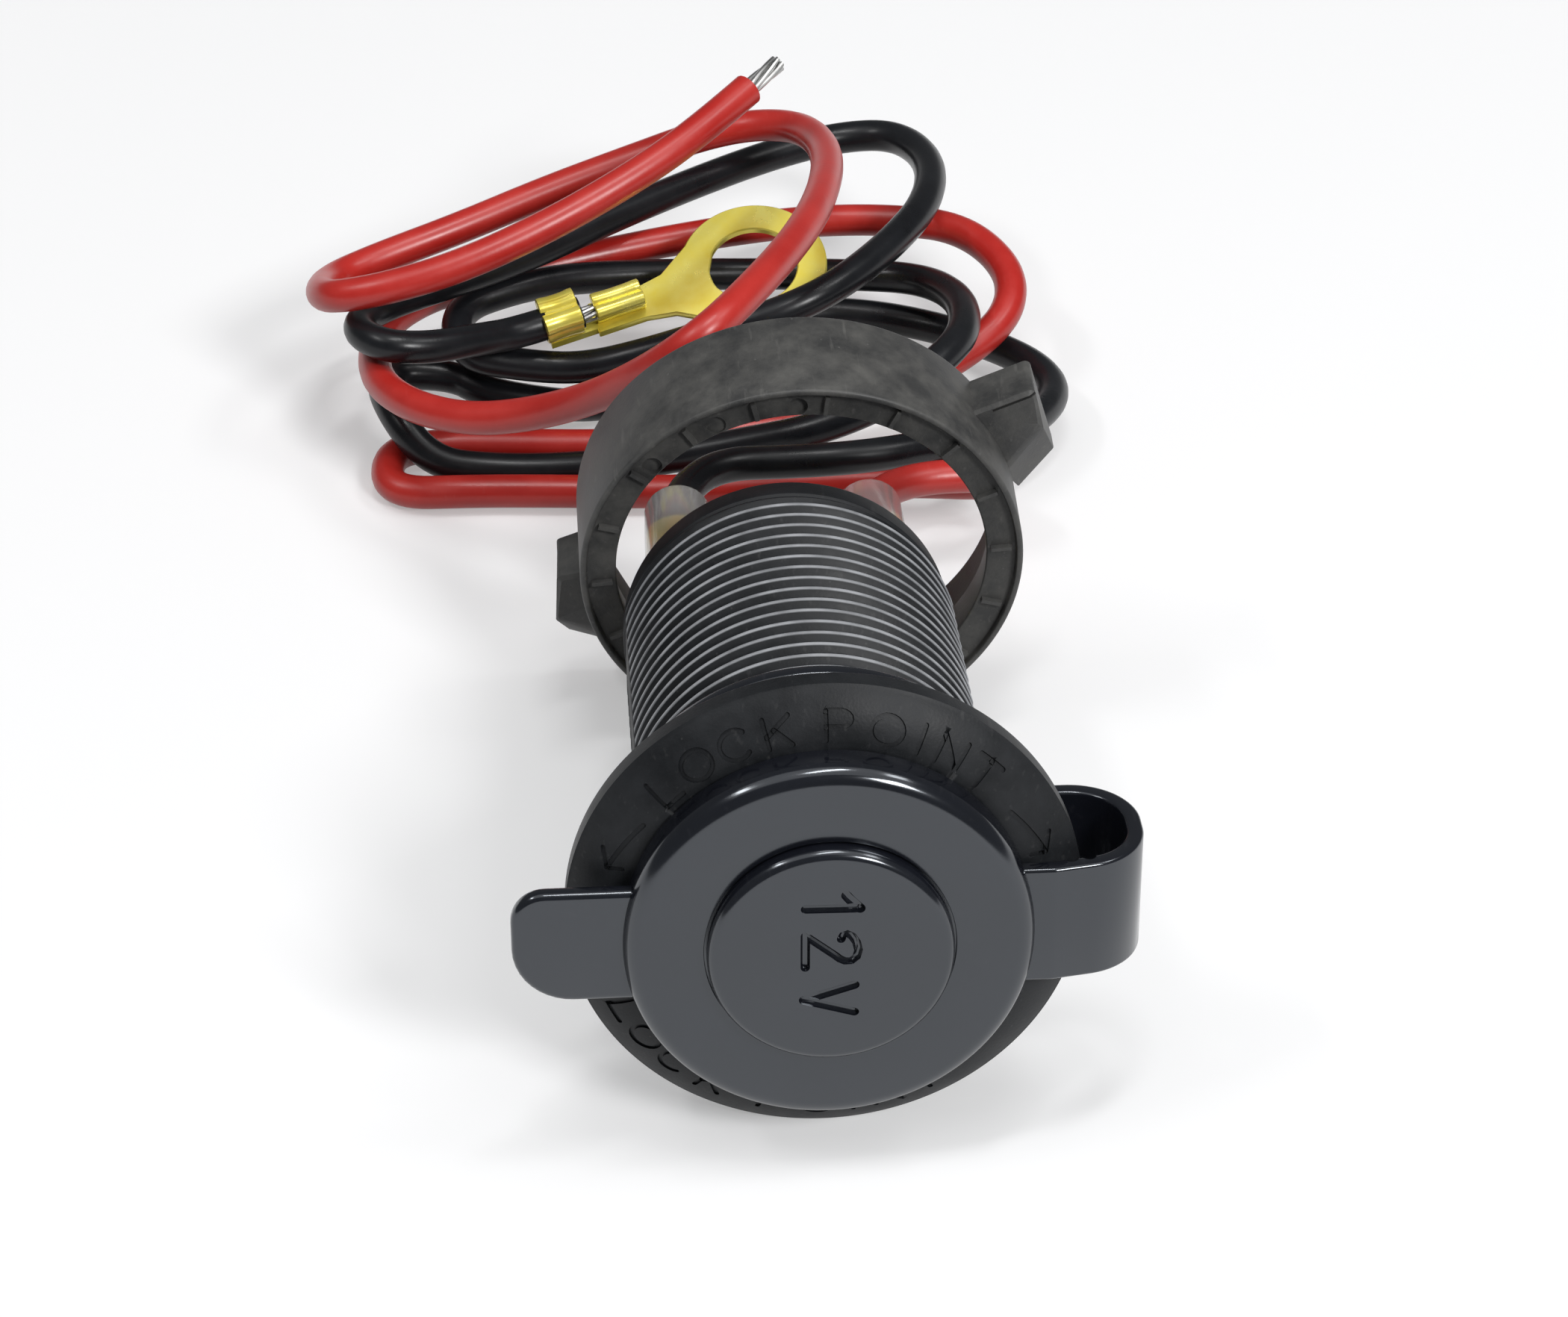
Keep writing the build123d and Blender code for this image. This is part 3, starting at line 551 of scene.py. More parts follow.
# Painted highlight on the thread: a patchy pale grey along each rib's crest, in place of the lamps' shine
# on it.
crest_highlight_node = body_tree.nodes.new("ShaderNodeGroup")
crest_highlight_node.node_tree = build_painted_crest_highlight()
feed(body_tree, crest_highlight_node, {
    "Base": body_surface.inputs["Base Color"].links[0].from_socket,
    "Base Roughness": body_surface.inputs["Roughness"].links[0].from_socket,
    "Crest": (0.36, 0.37, 0.39, 1),
    "Crest Roughness": 0.34,
})
feed(body_tree, body_surface, {
    "Base Color": crest_highlight_node.outputs["Colour"],
    "Roughness": crest_highlight_node.outputs["Roughness"],
})
soft_black = finish("soft_black_cap", (0.0052, 0.0058, 0.0085), (0.0075, 0.0085, 0.0125), 3000, 120,
                    (0.13, 0.17), 0.0008, scuff=0.08, mark=(0.10, 0.10, 0.11), specular=1.0)
soft_surface = soft_black.node_tree.nodes["Principled BSDF"]
soft_surface.inputs["Specular Tint"].default_value = (0.89, 0.94, 1.0, 1)
red_cover = finish("red_insulation", (0.47, 0.018, 0.013), (0.56, 0.033, 0.025), 2400, 150,
                   (0.30, 0.40), 0.006, scuff=0.10, mark=(0.70, 0.16, 0.14), specular=0.6)
black_cover = finish("black_insulation", (0.0065, 0.007, 0.0085), (0.013, 0.014, 0.0165), 2400, 150,
                     (0.26, 0.36), 0.006, scuff=0.12, mark=(0.05, 0.05, 0.055), specular=0.32)
brass = finish("pressed_brass", (0.98, 0.82, 0.11), (1.0, 0.91, 0.22), 2600, 300,
               (0.20, 0.30), 0.003, scuff=0.06, mark=(0.66, 0.48, 0.12), metal=0.45)
tinned = finish("tinned_strands", (0.52, 0.52, 0.51), (0.66, 0.66, 0.65), 2600, 300,
                (0.26, 0.40), 0.004, metal=1.0)
plated = finish("plated_steel", (0.66, 0.66, 0.64), (0.76, 0.76, 0.74), 2600, 200,
                (0.16, 0.30), 0.003, metal=1.0)
brown_board = finish("brown_board", (0.26, 0.13, 0.05), (0.36, 0.19, 0.08), 2000, 300,
                     (0.55, 0.70), 0.02)

clear_vinyl = bpy.data.materials.new("clear_vinyl")
clear_vinyl.use_nodes = True
vinyl = clear_vinyl.node_tree.nodes["Principled BSDF"]
vinyl.inputs["Base Color"].default_value = (0.97, 0.95, 0.93, 1)
vinyl.inputs["Roughness"].default_value = 0.16
vinyl.inputs["IOR"].default_value = 1.42
vinyl.inputs["Transmission Weight"].default_value = 0.8

for material, nodes in (
    (plated, ("contact_sleeve",)),
    (brown_board, ("insulating_disc", "centre_bush")),
    (brass, ("centre_contact", "centre_rivet", "earth_rivet", "live_blade", "earth_blade",
             "live_connector", "earth_connector")),
):
    for node in nodes:
        frame["nodes"][node].data.materials.clear()
        frame["nodes"][node].data.materials.append(material)


# Engraved marks

SQUARE_CUT = ((1, 1), (-1, 1))
ROUND_CUT = ((1, 0.2), (0.87, 0.58), (0.5, 0.9), (0, 1), (-0.5, 0.9), (-0.87, 0.58), (-1, 0.2))


def channel(path, width, place, lift, depth, closed=False, cut=SQUARE_CUT):
    """A channel carried along a flat path: half its width lies on each side, across the path's
    direction, and an open end shuts in a half circle. Its sides rise to the lift above the surface,
    and the cut gives its bottom's section in shares of half the width and of the depth."""
    path = np.asarray(path, float)
    half = np.full(len(path), width / 2)
    if closed:
        ahead = np.roll(path, -1, 0) - np.roll(path, 1, 0)
    else:
        first = path[0] - path[1]
        last = path[-1] - path[-2]
        first = first / np.linalg.norm(first)
        last = last / np.linalg.norm(last)
        swing = np.radians([20, 40, 60, 80])
        reach = np.sin(swing)[:, None] * width / 2
        path = np.concatenate([path[0] + reach[::-1] * first, path, path[-1] + reach * last])
        tip = np.cos(swing) * width / 2
        half = np.concatenate([tip[::-1], half, tip])
        ahead = np.gradient(path, axis=0)
    ahead = ahead / np.linalg.norm(ahead, axis=1)[:, None]
    side = np.stack([-ahead[:, 1], ahead[:, 0]], -1) * half[:, None]
    rows = [place(path + side, lift), place(path - side, lift)]
    rows += [place(path - side * across, -depth * down) for across, down in cut]
    grid = np.stack(rows, 1)
    return loop(grid) if closed else tube(grid)


def arc_path(centre, radii, start, end, count=14):
    """Points of an ellipse from one angle to another, in degrees."""
    angle = np.radians(np.linspace(start, end, count))
    return np.asarray(centre) + np.stack([radii[0] * np.cos(angle), radii[1] * np.sin(angle)], -1)


def straight(a, b, count=4):
    """Evenly spaced points from a to b."""
    return np.linspace(a, b, count)


def on_boss(flat, height):
    """(x, z) on the boss, raised towards the front by height."""
    y = np.full(len(flat), BOSS_FACE - height)
    return on_socket(np.stack([flat[:, 0], y, flat[:, 1]], -1))


MARK_DEPTH = 0.5
MARK_LIFT = 0.3
two_hook = np.array([
    (0.68, 1.72), (0.82, 2.06), (1.12, 2.2), (1.5, 1.95), (1.83, 1.4), (1.98, 0.7), (1.84, 0.1),
    (1.45, -0.24), (0.98, -0.24), (0.6, -0.04),
])
# Each stroke's path in millimetres on the boss, with its width
rating_strokes = [
    (straight((-1.98, 4.46), (1.75, 4.4)), 0.72),
    (np.array([(1.05, 5.56), (1.32, 5.2), (1.65, 4.85), (2.08, 4.4)]), 0.8),
    (np.concatenate([two_hook, straight((0.2, 0.32), (-1.95, 2.1), 6)]), 0.66),
    (straight((-1.99, 2.1), (-1.99, -0.72)), 0.7),
    (straight((-2.1, -3.65), (1.72, -2.42)), 0.74),
    (straight((-2.1, -3.68), (1.72, -4.86)), 0.7),
]


def flange_y(radius):
    """Front of the flange: a cone between seat and rim with a slight bulge."""
    share = (np.asarray(radius, float) - SEAT_R) / (FLANGE_R - SEAT_R)
    return -FLANGE_T + share * (FLANGE_T - FLANGE_RIM) - FLANGE_BULGE * (1 - (2 * share - 1) ** 2)


CONE_OUT = 0.5
CONE_FRONT = 0.866
LETTER_MID_R = 17.0
LETTER_FOOT_R = 16.05
LETTER_HEAD_R = 18.1
LETTER_H = LETTER_HEAD_R - LETTER_FOOT_R
LETTER_W = 3.3


def on_flange(angle, radius, height):
    """Angle in radians and radius on the flange's cone, raised square to the cone by height."""
    out = radius + CONE_OUT * height
    y = flange_y(radius) - CONE_FRONT * height
    return on_socket(np.stack([out * np.cos(angle), y, out * np.sin(angle)], -1))


def upper_letter(middle):
    """Places a letter at an angle above the cap, with its head towards the rim."""
    def place(flat, height):
        angle = math.radians(middle) - flat[:, 0] / LETTER_MID_R
        return on_flange(angle, LETTER_FOOT_R + flat[:, 1], height)
    return place


def lower_letter(middle):
    """Places a letter at an angle below the cap, with its foot towards the rim."""
    def place(flat, height):
        angle = math.radians(middle) + flat[:, 0] / LETTER_MID_R
        return on_flange(angle, LETTER_HEAD_R - flat[:, 1], height)
    return place


# Letters as strokes in a box one high, with their middles at zero
LETTERS = {
    "L": [straight((-0.26, 1), (-0.26, 0)), straight((-0.26, 0), (0.3, 0))],
    "O": [arc_path((0, 0.5), (0.37, 0.5), 0, 345, 24)],
    "C": [arc_path((0, 0.5), (0.36, 0.5), 45, 315, 20)],
    "K": [straight((-0.27, 1), (-0.27, 0)), straight((0.28, 1), (-0.25, 0.42)),
          straight((-0.06, 0.6), (0.3, 0))],
    "P": [straight((-0.26, 0), (-0.26, 1)),
          np.concatenate([straight((-0.26, 1), (0.02, 1)),
                          arc_path((0.04, 0.74), (0.26, 0.26), 80, -80, 9),
                          straight((0.02, 0.48), (-0.26, 0.48))])],
    "I": [straight((0, 0), (0, 1))],
    "N": [straight((-0.29, 0), (-0.29, 1)), straight((-0.29, 1), (0.29, 0)),
          straight((0.29, 0), (0.29, 1))],
    "T": [straight((0, 0), (0, 1)), straight((-0.32, 1), (0.32, 1))],
}
# Each letter's angle round the flange, in degrees
UPPER_WORDS = [("L", 135), ("O", 124.5), ("C", 113.5), ("K", 102.5),
               ("P", 87.5), ("O", 75), ("I", 66), ("N", 57.5), ("T", 47)]
LOWER_WORDS = [("L", 206), ("O", 216), ("C", 227), ("K", 239),
               ("P", 256), ("O", 268), ("I", 277), ("N", 286), ("T", 297)]
FINE_W = 0.36
FINE_LIFT = 0.25
FINE_DEPTH = 0.17
flange_marks = []
for words, letter in ((UPPER_WORDS, upper_letter), (LOWER_WORDS, lower_letter)):
    for sign, middle in words:
        for stroke in LETTERS[sign]:
            path = stroke * np.array([LETTER_W, LETTER_H])
            flange_marks.append(
                channel(path, FINE_W, letter(middle), FINE_LIFT, FINE_DEPTH, closed=sign == "O"))

# Millimetres for one degree round the letters' middle, and for one of radius
POLAR_MM = np.array([math.radians(1) * LETTER_MID_R, 1])


def on_polar(flat, height):
    """Millimetres round the letters' middle, and radius, on the flange's cone."""
    degrees, radius = (flat / POLAR_MM).T
    return on_flange(np.radians(degrees), radius, height)


def polar_stroke(a, b):
    """A straight stroke on the cone between two (degrees, radius) places."""
    ends = np.array([a, b], float) * POLAR_MM
    return channel(straight(ends[0], ends[1], 8), FINE_W, on_polar, FINE_LIFT, FINE_DEPTH)


# An arrow at each end of the upper words: its tail, its tip and the ends of its barbs
for tail, tip, barbs in (
    ((146, 16.5), (162, 17.35), ((157.5, 18.1), (160.5, 16.3))),
    ((34, 16.5), (18, 17.35), ((22.5, 18.1), (19.5, 16.3))),
):
    flange_marks.append(polar_stroke(tail, tip))
    flange_marks += [polar_stroke(tip, barb) for barb in barbs]


# Socket body: thread, front and rear

def thread_sheet():
    """A helix: once round, each point of the rib's outline comes forward by one pitch. The rib sinks to
    the root at both ends, and the two sides are cut flat."""
    rib_y = np.array([-0.62, -0.5, -0.17, -0.1, 0.1, 0.17, 0.5, 0.62])
    rib_h = np.array([0.0, 0.05, 0.6, 0.65, 0.65, 0.6, 0.05, 0.0])
    turns = np.arange(-1, int(math.ceil(THREAD_HIGH / PITCH)) + 2)
    along = (turns[:, None] * PITCH + rib_y).reshape(-1)
    height = np.tile(rib_h, len(turns))
    angle = np.linspace(0.0, 2 * math.pi, ROUND + 1)
    y = along[:, None] + PITCH * (1 - angle / (2 * math.pi))
    sink = np.clip((y - THREAD_LOW) / RUN_OUT, 0, 1) * np.clip((THREAD_HIGH - y) / RUN_OUT, 0, 1)
    radius = ROOT_R + height[:, None] * sink
    x = np.clip(radius * np.cos(angle), -FLAT_X, FLAT_X)
    z = radius * np.sin(angle)
    return np.stack([x, np.clip(y, THREAD_LOW, THREAD_HIGH), z], -1)


front_r = np.linspace(FLANGE_R - 0.25, SEAT_R, 9)
front_outline = np.concatenate([
    rounded([(ROOT_R, THREAD_LOW), (ROOT_R, 0), (FLANGE_R, 0), (FLANGE_R, -FLANGE_RIM)],
            [0, 0.4, 0.3, 0], closed=False),
    np.array([(FLANGE_R - 0.06, flange_y(FLANGE_R - 0.06) + 0.02)]),
    np.stack([front_r, flange_y(front_r)], -1),
    rounded([(SEAT_R, -FLANGE_T), (MOUTH_R, -FLANGE_T), (MOUTH_R, CUP_FRONT), (CUP_HOLE_R, CUP_FRONT),
             (CUP_HOLE_R, CUP_BACK), (0, CUP_BACK)], [0, 0.5, 0, 0, 0, 0], closed=False),
])
rear_outline = rounded(
    [(0, WALL_BACK), (REAR_CUP_R, WALL_BACK), (REAR_CUP_R, BODY_LEN), (REAR_R, BODY_LEN),
     (REAR_R, BODY_LEN - 2.2), (ROOT_R, BODY_LEN - 2.4), (ROOT_R, THREAD_HIGH)],
    [0, 0.3, 0.25, 0.35, 0.1, 0, 0], closed=False,
)
body_mesh = shell_mesh("socket_shell", [
    (on_socket(turned(front_outline)), False, True),
    (on_socket(thread_sheet()), False, False),
    (on_socket(turned(rear_outline)), False, True),
])
body_mesh = carved(body_mesh, shell_mesh("flange_marks", flange_marks), "DIFFERENCE")
socket_shell = make_piece("socket_shell", body_mesh, threaded_black)
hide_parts("socket_body")

# Cap: lid, boss with a fine groove round its foot, hollow plug and pull tab
FOOT_W = 0.17
FOOT_DEEP = 0.3
FOOT_Y = CAP_FACE + FOOT_DEEP
INNER_Y = CAP_FACE + CAP_TOP
PLUG_END_Y = CAP_BACK + PLUG_LEN
TAB_EDGE_R = 0.5
cap_outline = rounded(
    [(0, BOSS_FACE), (BOSS_R, BOSS_FACE), (BOSS_R, FOOT_Y), (BOSS_R + FOOT_W, FOOT_Y),
     (BOSS_R + FOOT_W, CAP_FACE), (CAP_R, CAP_FACE), (CAP_R, CAP_BACK), (CAP_R - CAP_RIM, CAP_BACK),
     (CAP_R - CAP_RIM, INNER_Y), (PLUG_R, INNER_Y), (PLUG_R, CAP_BACK), (PLUG_END_R, PLUG_END_Y),
     (PLUG_END_R - PLUG_WALL, PLUG_END_Y), (PLUG_R - PLUG_WALL, INNER_Y), (0, INNER_Y)],
    [0, BOSS_EDGE_R, 0, 0, 0.05, CAP_EDGE_R, 0.3, 0.2, 0.3, 0.3, 0.2, 0.4, 0.4, 0.3, 0],
    steps=6, closed=False,
)
lid_mesh = shell_mesh("lid", [(on_socket(turned(cap_outline, 192)), False, True)])
IN_RIM = CAP_R - CAP_RIM + 0.2
tab_outline = rounded(
    [(-IN_RIM, TAB_W / 2), (-TAB_REACH, TAB_W / 2), (-TAB_REACH, -TAB_W / 2), (-IN_RIM, -TAB_W / 2)],
    [0.6, TAB_R_TOP, TAB_R_LOW, 0.6], steps=10,
)
tab_plate = plate(tab_outline, TAB_FRONT, TAB_FRONT + TAB_T, TAB_EDGE_R)
tab_mesh = shell_mesh("tab", [tube(on_socket(tab_plate))])
cap_mesh = carved(lid_mesh, tab_mesh, "UNION")
for stroke, width in rating_strokes:
    groove = channel(stroke, width, on_boss, MARK_LIFT, MARK_DEPTH, cut=ROUND_CUT)
    cap_mesh = carved(cap_mesh, shell_mesh("rating_stroke", [groove]), "DIFFERENCE")
cap_lid = make_piece("cap_lid", cap_mesh, soft_black, body="cap")
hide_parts("cap")

# Strap: a flat band carried along its line, thinned at two notches
reach_mid = STRAP_REACH - STRAP_T / 2
strap_line = rounded(
    [(LUG_END, STRAP_Y), (reach_mid, STRAP_Y + STRAP_RISE), (reach_mid, STRAP_BACK_Y),
     (RING_IN + RING_BAND / 2, STRAP_BACK_Y)],
    [0, STRAP_BEND_R, STRAP_BEND_R, 0], steps=24, closed=False,
)
SPLIT_Y = 0.85
STRAP_EDGE_R = 0.28
NOTCHES = (HINGE_X - 0.9, HINGE_X + 0.5)


def evenly(line, step):
    """The same line with points a step apart along it."""
    line = np.asarray(line, float)
    run = np.concatenate([[0.0], np.cumsum(np.linalg.norm(np.diff(line, axis=0), axis=1))])
    at = np.linspace(0.0, run[-1], int(run[-1] / step) + 2)
    return np.stack([np.interp(at, run, line[:, 0]), np.interp(at, run, line[:, 1])], -1)


def band(line, notches=()):
    """A flat band carried along a line in the x, y plane: its section is a rounded oblong across
    the line. Its inner side is scooped out in a circle's shape at each notch."""
    ahead = np.gradient(line, axis=0)
    ahead = ahead / np.linalg.norm(ahead, axis=1)[:, None]
    outward = np.stack([ahead[:, 1], -ahead[:, 0]], -1)
    oblong = rounded(
        [(STRAP_T / 2, STRAP_W / 2), (-STRAP_T / 2, STRAP_W / 2), (-STRAP_T / 2, -STRAP_W / 2),
         (STRAP_T / 2, -STRAP_W / 2)], [STRAP_EDGE_R] * 4, steps=3)
    scoop = np.zeros(len(line))
    for spot in notches:
        scoop = np.maximum(scoop, np.sqrt(np.clip(NOTCH_R ** 2 - (line[:, 0] - spot) ** 2, 0, None)))
    offset = np.maximum(oblong[:, 0][None], -STRAP_T / 2 + scoop[:, None])
    flat = line[:, None] + offset[..., None] * outward[:, None]
    return np.stack([flat[..., 0], flat[..., 1], np.broadcast_to(oblong[:, 1], flat.shape[:2])], -1)


upper_run = strap_line[strap_line[:, 1] < SPLIT_Y]
lower_run = strap_line[strap_line[:, 1] > SPLIT_Y]
split_at = [(reach_mid, SPLIT_Y)]
front_line = evenly(np.concatenate([[(IN_RIM + 0.2, STRAP_Y)], upper_run, split_at]), 0.08)
rear_line = evenly(np.concatenate([split_at, lower_run]), 0.25)
hinge_mesh = shell_mesh("strap_hinge", [tube(on_socket(band(front_line, NOTCHES)))])
strap_hinge = make_piece("strap_hinge", hinge_mesh, soft_black, body=None)
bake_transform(strap_hinge)
ring_outline = rounded(
    [(RING_IN, STRAP_BACK_Y - STRAP_T / 2), (RING_IN + RING_BAND, STRAP_BACK_Y - STRAP_T / 2),
     (RING_IN + RING_BAND, STRAP_BACK_Y + STRAP_T / 2), (RING_IN, STRAP_BACK_Y + STRAP_T / 2)],
    [STRAP_EDGE_R] * 4, steps=3,
)
ring_mesh = carved(
    shell_mesh("strap_ring", [loop(on_socket(turned(ring_outline, 144)))]),
    shell_mesh("strap_arm", [tube(on_socket(band(rear_line)))]), "UNION")
strap_ring = make_piece("strap_ring", ring_mesh, soft_black)
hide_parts("cap_strap")

# Ring nut
nut_outline = rounded(
    [(NUT_BORE_R, NUT_RECESS), (NUT_R - NUT_LIP, NUT_RECESS), (NUT_R - NUT_LIP, 0), (NUT_R, 0),
     (NUT_R, NUT_W), (NUT_BACK_R, NUT_W), (NUT_BACK_R, NUT_WEB), (NUT_FLARE_R, NUT_WEB)],
    [0.2, 0.12, 0.12, 0.25, 0.3, 0.25, 0.2, 0.2], steps=3,
)
nut_mesh = shell_mesh("nut_ring", [loop(on_nut(turned(nut_outline, 192)))])
WING_ROOT = NUT_R - 0.7
WING_EASE = 0.3
WING_INWARD = np.array([(0, -1), (-1, -1), (-1, 0), (-1, 1), (0, 1)])
# Corners of each wing's section at its front and behind its slope, from its top round to its lower side
WING_CORNERS = {
    1: ([(WING_ROOT, 4.85), (23.6, 4.85), (23.2, 2.9), (22.8, 1.0), (WING_ROOT, -2.1)],
        [(WING_ROOT, 4.6), (23.5, 4.6), (22.9, 0.5), (22.3, -4.0), (WING_ROOT, -6.6)]),
    -1: ([(17.2, 4.6), (20.9, 1.9), (22.8, -0.1), (20.75, -4.05), (17.5, -3.3)],
         [(17.0, 6.0), (20.9, 6.2), (23.3, 3.8), (20.4, -4.6), (17.3, -4.5)]),
}


def wing_block(side):
    """A wing through five sections across the nut's axis: eased at the front, deepening along its
    slope, then straight to the back, which is eased too."""
    front, back = WING_CORNERS[side]
    rows = []
    for y, deep, ease in (
        (WING_FRONT, 0, WING_EASE), (WING_FRONT + WING_EASE, WING_EASE / WING_SLOPE, 0),
        (WING_FRONT + WING_SLOPE, 1, 0), (NUT_W - WING_EASE, 1, 0), (NUT_W, 1, WING_EASE),
    ):
        corners = np.array(front) + deep * (np.array(back) - np.array(front))
        corners = corners + ease * WING_INWARD
        section = rounded(corners, [0.1, 0.5, 0.3, 0.4, 0.1], steps=4)
        rows.append(np.stack([section[:, 0], np.full(len(section), y), section[:, 1]], -1))
    return tube(on_nut(np.stack(rows) * np.array([side, 1, side])))


def straight_block(low, high):
    """An oblong between two corners of the nut's own frame."""
    x = np.array([low[0], high[0], high[0], low[0]])
    z = np.array([low[2], low[2], high[2], high[2]])
    rows = [np.stack([x, np.full(4, y), z], -1) for y in (low[1], high[1])]
    return tube(on_nut(np.stack(rows)))


RIB_IN = NUT_BORE_R + 0.4
RIB_OUT = RIB_IN + 1.75
RIB_HALF = 0.22
RIB_TOP = NUT_RECESS - 0.45


def face_rib(number):
    """A small radial rib on the nut's front: an oblong that narrows a little towards its top."""
    angle = 2 * math.pi * number / NUT_RIBS
    rows = []
    for y, half in ((RIB_TOP, RIB_HALF * 0.8), (NUT_RECESS + 0.2, RIB_HALF)):
        rows.append([(RIB_IN, y, -half), (RIB_OUT, y, -half), (RIB_OUT, y, half), (RIB_IN, y, half)])
    x, y, z = np.moveaxis(np.asarray(rows), -1, 0)
    spun = [x * math.cos(angle) - z * math.sin(angle), y, x * math.sin(angle) + z * math.cos(angle)]
    return tube(on_nut(np.stack(spun, -1)))


PIN_R = 16.6
PIN_SIZE = 0.85
# Each ejector mark's angle in degrees, and its depth
PIN_MARKS = ((139, 0.5), (116, 0.25), (92, 0.5))


def pin_mark(degrees, depth):
    """A round ejector mark in the nut's front, at an angle as the nut stands."""
    angle = math.radians(degrees) - WING_TURN
    disc = turned(np.array([(PIN_SIZE, NUT_RECESS - 0.6), (PIN_SIZE, NUT_RECESS + depth)]), 24)
    return tube(on_nut(disc + np.array([PIN_R * math.cos(angle), 0, PIN_R * math.sin(angle)])))


SHELF_R = NUT_BORE_R + 0.4
TOOTH_STEPS = 60
TOOTH_NEAR = 0.5
TOOTH_FAR = 1.8
tooth_foot = TOOTH_R + THREAD_DEPTH
tooth_outline = [(SHELF_R, NUT_RECESS + TOOTH_NEAR)]
for turn in range(2):
    at = NUT_RECESS + turn * PITCH
    tooth_outline += [(tooth_foot, at + TOOTH_NEAR), (TOOTH_R, at + 1.0), (TOOTH_R, at + 1.3),
                      (tooth_foot, at + TOOTH_FAR)]
tooth_outline = np.array(tooth_outline + [(SHELF_R, NUT_RECESS + TOOTH_FAR + PITCH)])
tooth_angle = -np.radians(np.linspace(TOOTH_START, TOOTH_START + TOOTH_ARC, TOOTH_STEPS)) - WING_TURN
tooth_grid = np.stack([
    tooth_outline[:, 0] * np.cos(tooth_angle)[:, None],
    np.broadcast_to(tooth_outline[:, 1], (TOOTH_STEPS, len(tooth_outline))),
    tooth_outline[:, 0] * np.sin(tooth_angle)[:, None],
], -1)
nut_mesh = carved(nut_mesh, shell_mesh("wings", [wing_block(1), wing_block(-1)]), "UNION")
nut_mesh = carved(nut_mesh, shell_mesh("ribs", [face_rib(i) for i in range(NUT_RIBS)]), "UNION")
nut_mesh = carved(nut_mesh, shell_mesh("teeth", [tube(on_nut(tooth_grid))]), "UNION")
GROOVE_LOW = (NUT_R + 0.9, WING_FRONT - 0.6, 4.22)
GROOVE_HIGH = (WING_REACH + 0.6, WING_FRONT + 0.45, 4.46)
nut_marks = [pin_mark(*mark) for mark in PIN_MARKS] + [straight_block(GROOVE_LOW, GROOVE_HIGH)]
nut_mesh = carved(nut_mesh, shell_mesh("nut_marks", nut_marks), "DIFFERENCE")
winged_nut = make_piece("winged_nut", nut_mesh, matt_black)
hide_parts("ring_nut")


# Clear sleeves

SLEEVE_ROUND = 64
SLEEVE_EDGE = 0.12


def sleeve_sheet(x):
    """An oval tube: a slot's outline carried back, folded over at both ends to the inner wall."""
    turn = np.linspace(0.0, 2 * math.pi, SLEEVE_ROUND, endpoint=False)
    rise = (SLEEVE_LONG - SLEEVE_SHORT) / 2
    across = np.cos(turn)
    up = np.sin(turn)
    lift = rise * np.sign(up) * np.minimum(1.0, np.abs(up) * 12)
    near = SLEEVE_EDGE
    far = SLEEVE_WALL - SLEEVE_EDGE
    wall = np.array([0.0, 0.0, 0.0, near, far, SLEEVE_WALL, SLEEVE_WALL, SLEEVE_WALL, far, near])
    share = np.array([0.012, 0.5, 0.988, 1.0, 1.0, 0.988, 0.5, 0.012, 0.0, 0.0])
    radius = SLEEVE_SHORT / 2 - wall[:, None]
    y = np.broadcast_to((SLEEVE_FRONT + share * SLEEVE_LEN)[:, None], (len(wall), SLEEVE_ROUND))
    return loop(on_socket(np.stack([x + radius * across, y, BLADE_Z + radius * up + lift], -1)))


for name, x in (("live_sleeve", BLADE_X), ("earth_sleeve", -BLADE_X)):
    sleeve_mesh = shell_mesh(name, [sleeve_sheet(x)])
    sleeve = make_piece("clear_" + name, sleeve_mesh, clear_vinyl)
    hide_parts(name)


# Leads and their strands

def lead_curve(name, points, material):
    """A lead as one smooth spline with the route's points as its control points."""
    curve = bpy.data.curves.new(name, "CURVE")
    curve.dimensions = "3D"
    curve.bevel_depth = WIRE_D / 2 * MM
    curve.bevel_resolution = 8
    curve.resolution_u = 10
    curve.use_fill_caps = True
    spline = curve.splines.new("NURBS")
    spline.points.add(len(points) - 1)
    spline.points.foreach_set("co", np.column_stack([points, np.ones(len(points))]).ravel())
    spline.order_u = 3
    spline.use_endpoint_u = True
    curve.materials.append(material)
    piece = bpy.data.objects.new(name, curve)
    bpy.context.scene.collection.objects.link(piece)
    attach(piece, "socket")
    return piece


def lead_start(x):
    """The lead's first two points: in its connector's grip, and just past the end of its sleeve."""
    past_sleeve = SLEEVE_FRONT + SLEEVE_LEN + LEAD_OUT
    return on_socket([(x, GRIP_FRONT + 0.1, BLADE_Z), (x, past_sleeve, BLADE_Z)])


def strand_bundle(start, along, length, twist):
    """Seven strands in metres from a start along a direction: one in the middle and six round it,
    each a thin tube whose own line winds round by the twist, in turns over the whole length."""
    along = along / np.linalg.norm(along)
    side = np.cross(along, (0.0, 0.0, 1.0))
    side = side / np.linalg.norm(side)
    over = np.cross(side, along)
    share = np.linspace(0.0, 1.0, 14)
    ring = np.linspace(0.0, 2 * math.pi, 10, endpoint=False)
    thin = BARE_D / 6 * MM
    sheets = []
    for number in range(7):
        lean = 2 * math.pi * (number / 6 + twist * share)
        off = 0.0 if number == 6 else 2 * thin
        middle = start + share[:, None] * length * along
        middle = middle + off * (np.cos(lean)[:, None] * side + np.sin(lean)[:, None] * over)
        around = np.cos(ring)[:, None] * side + np.sin(ring)[:, None] * over
        sheets.append(tube(middle[:, None] + thin * around))
    return sheets


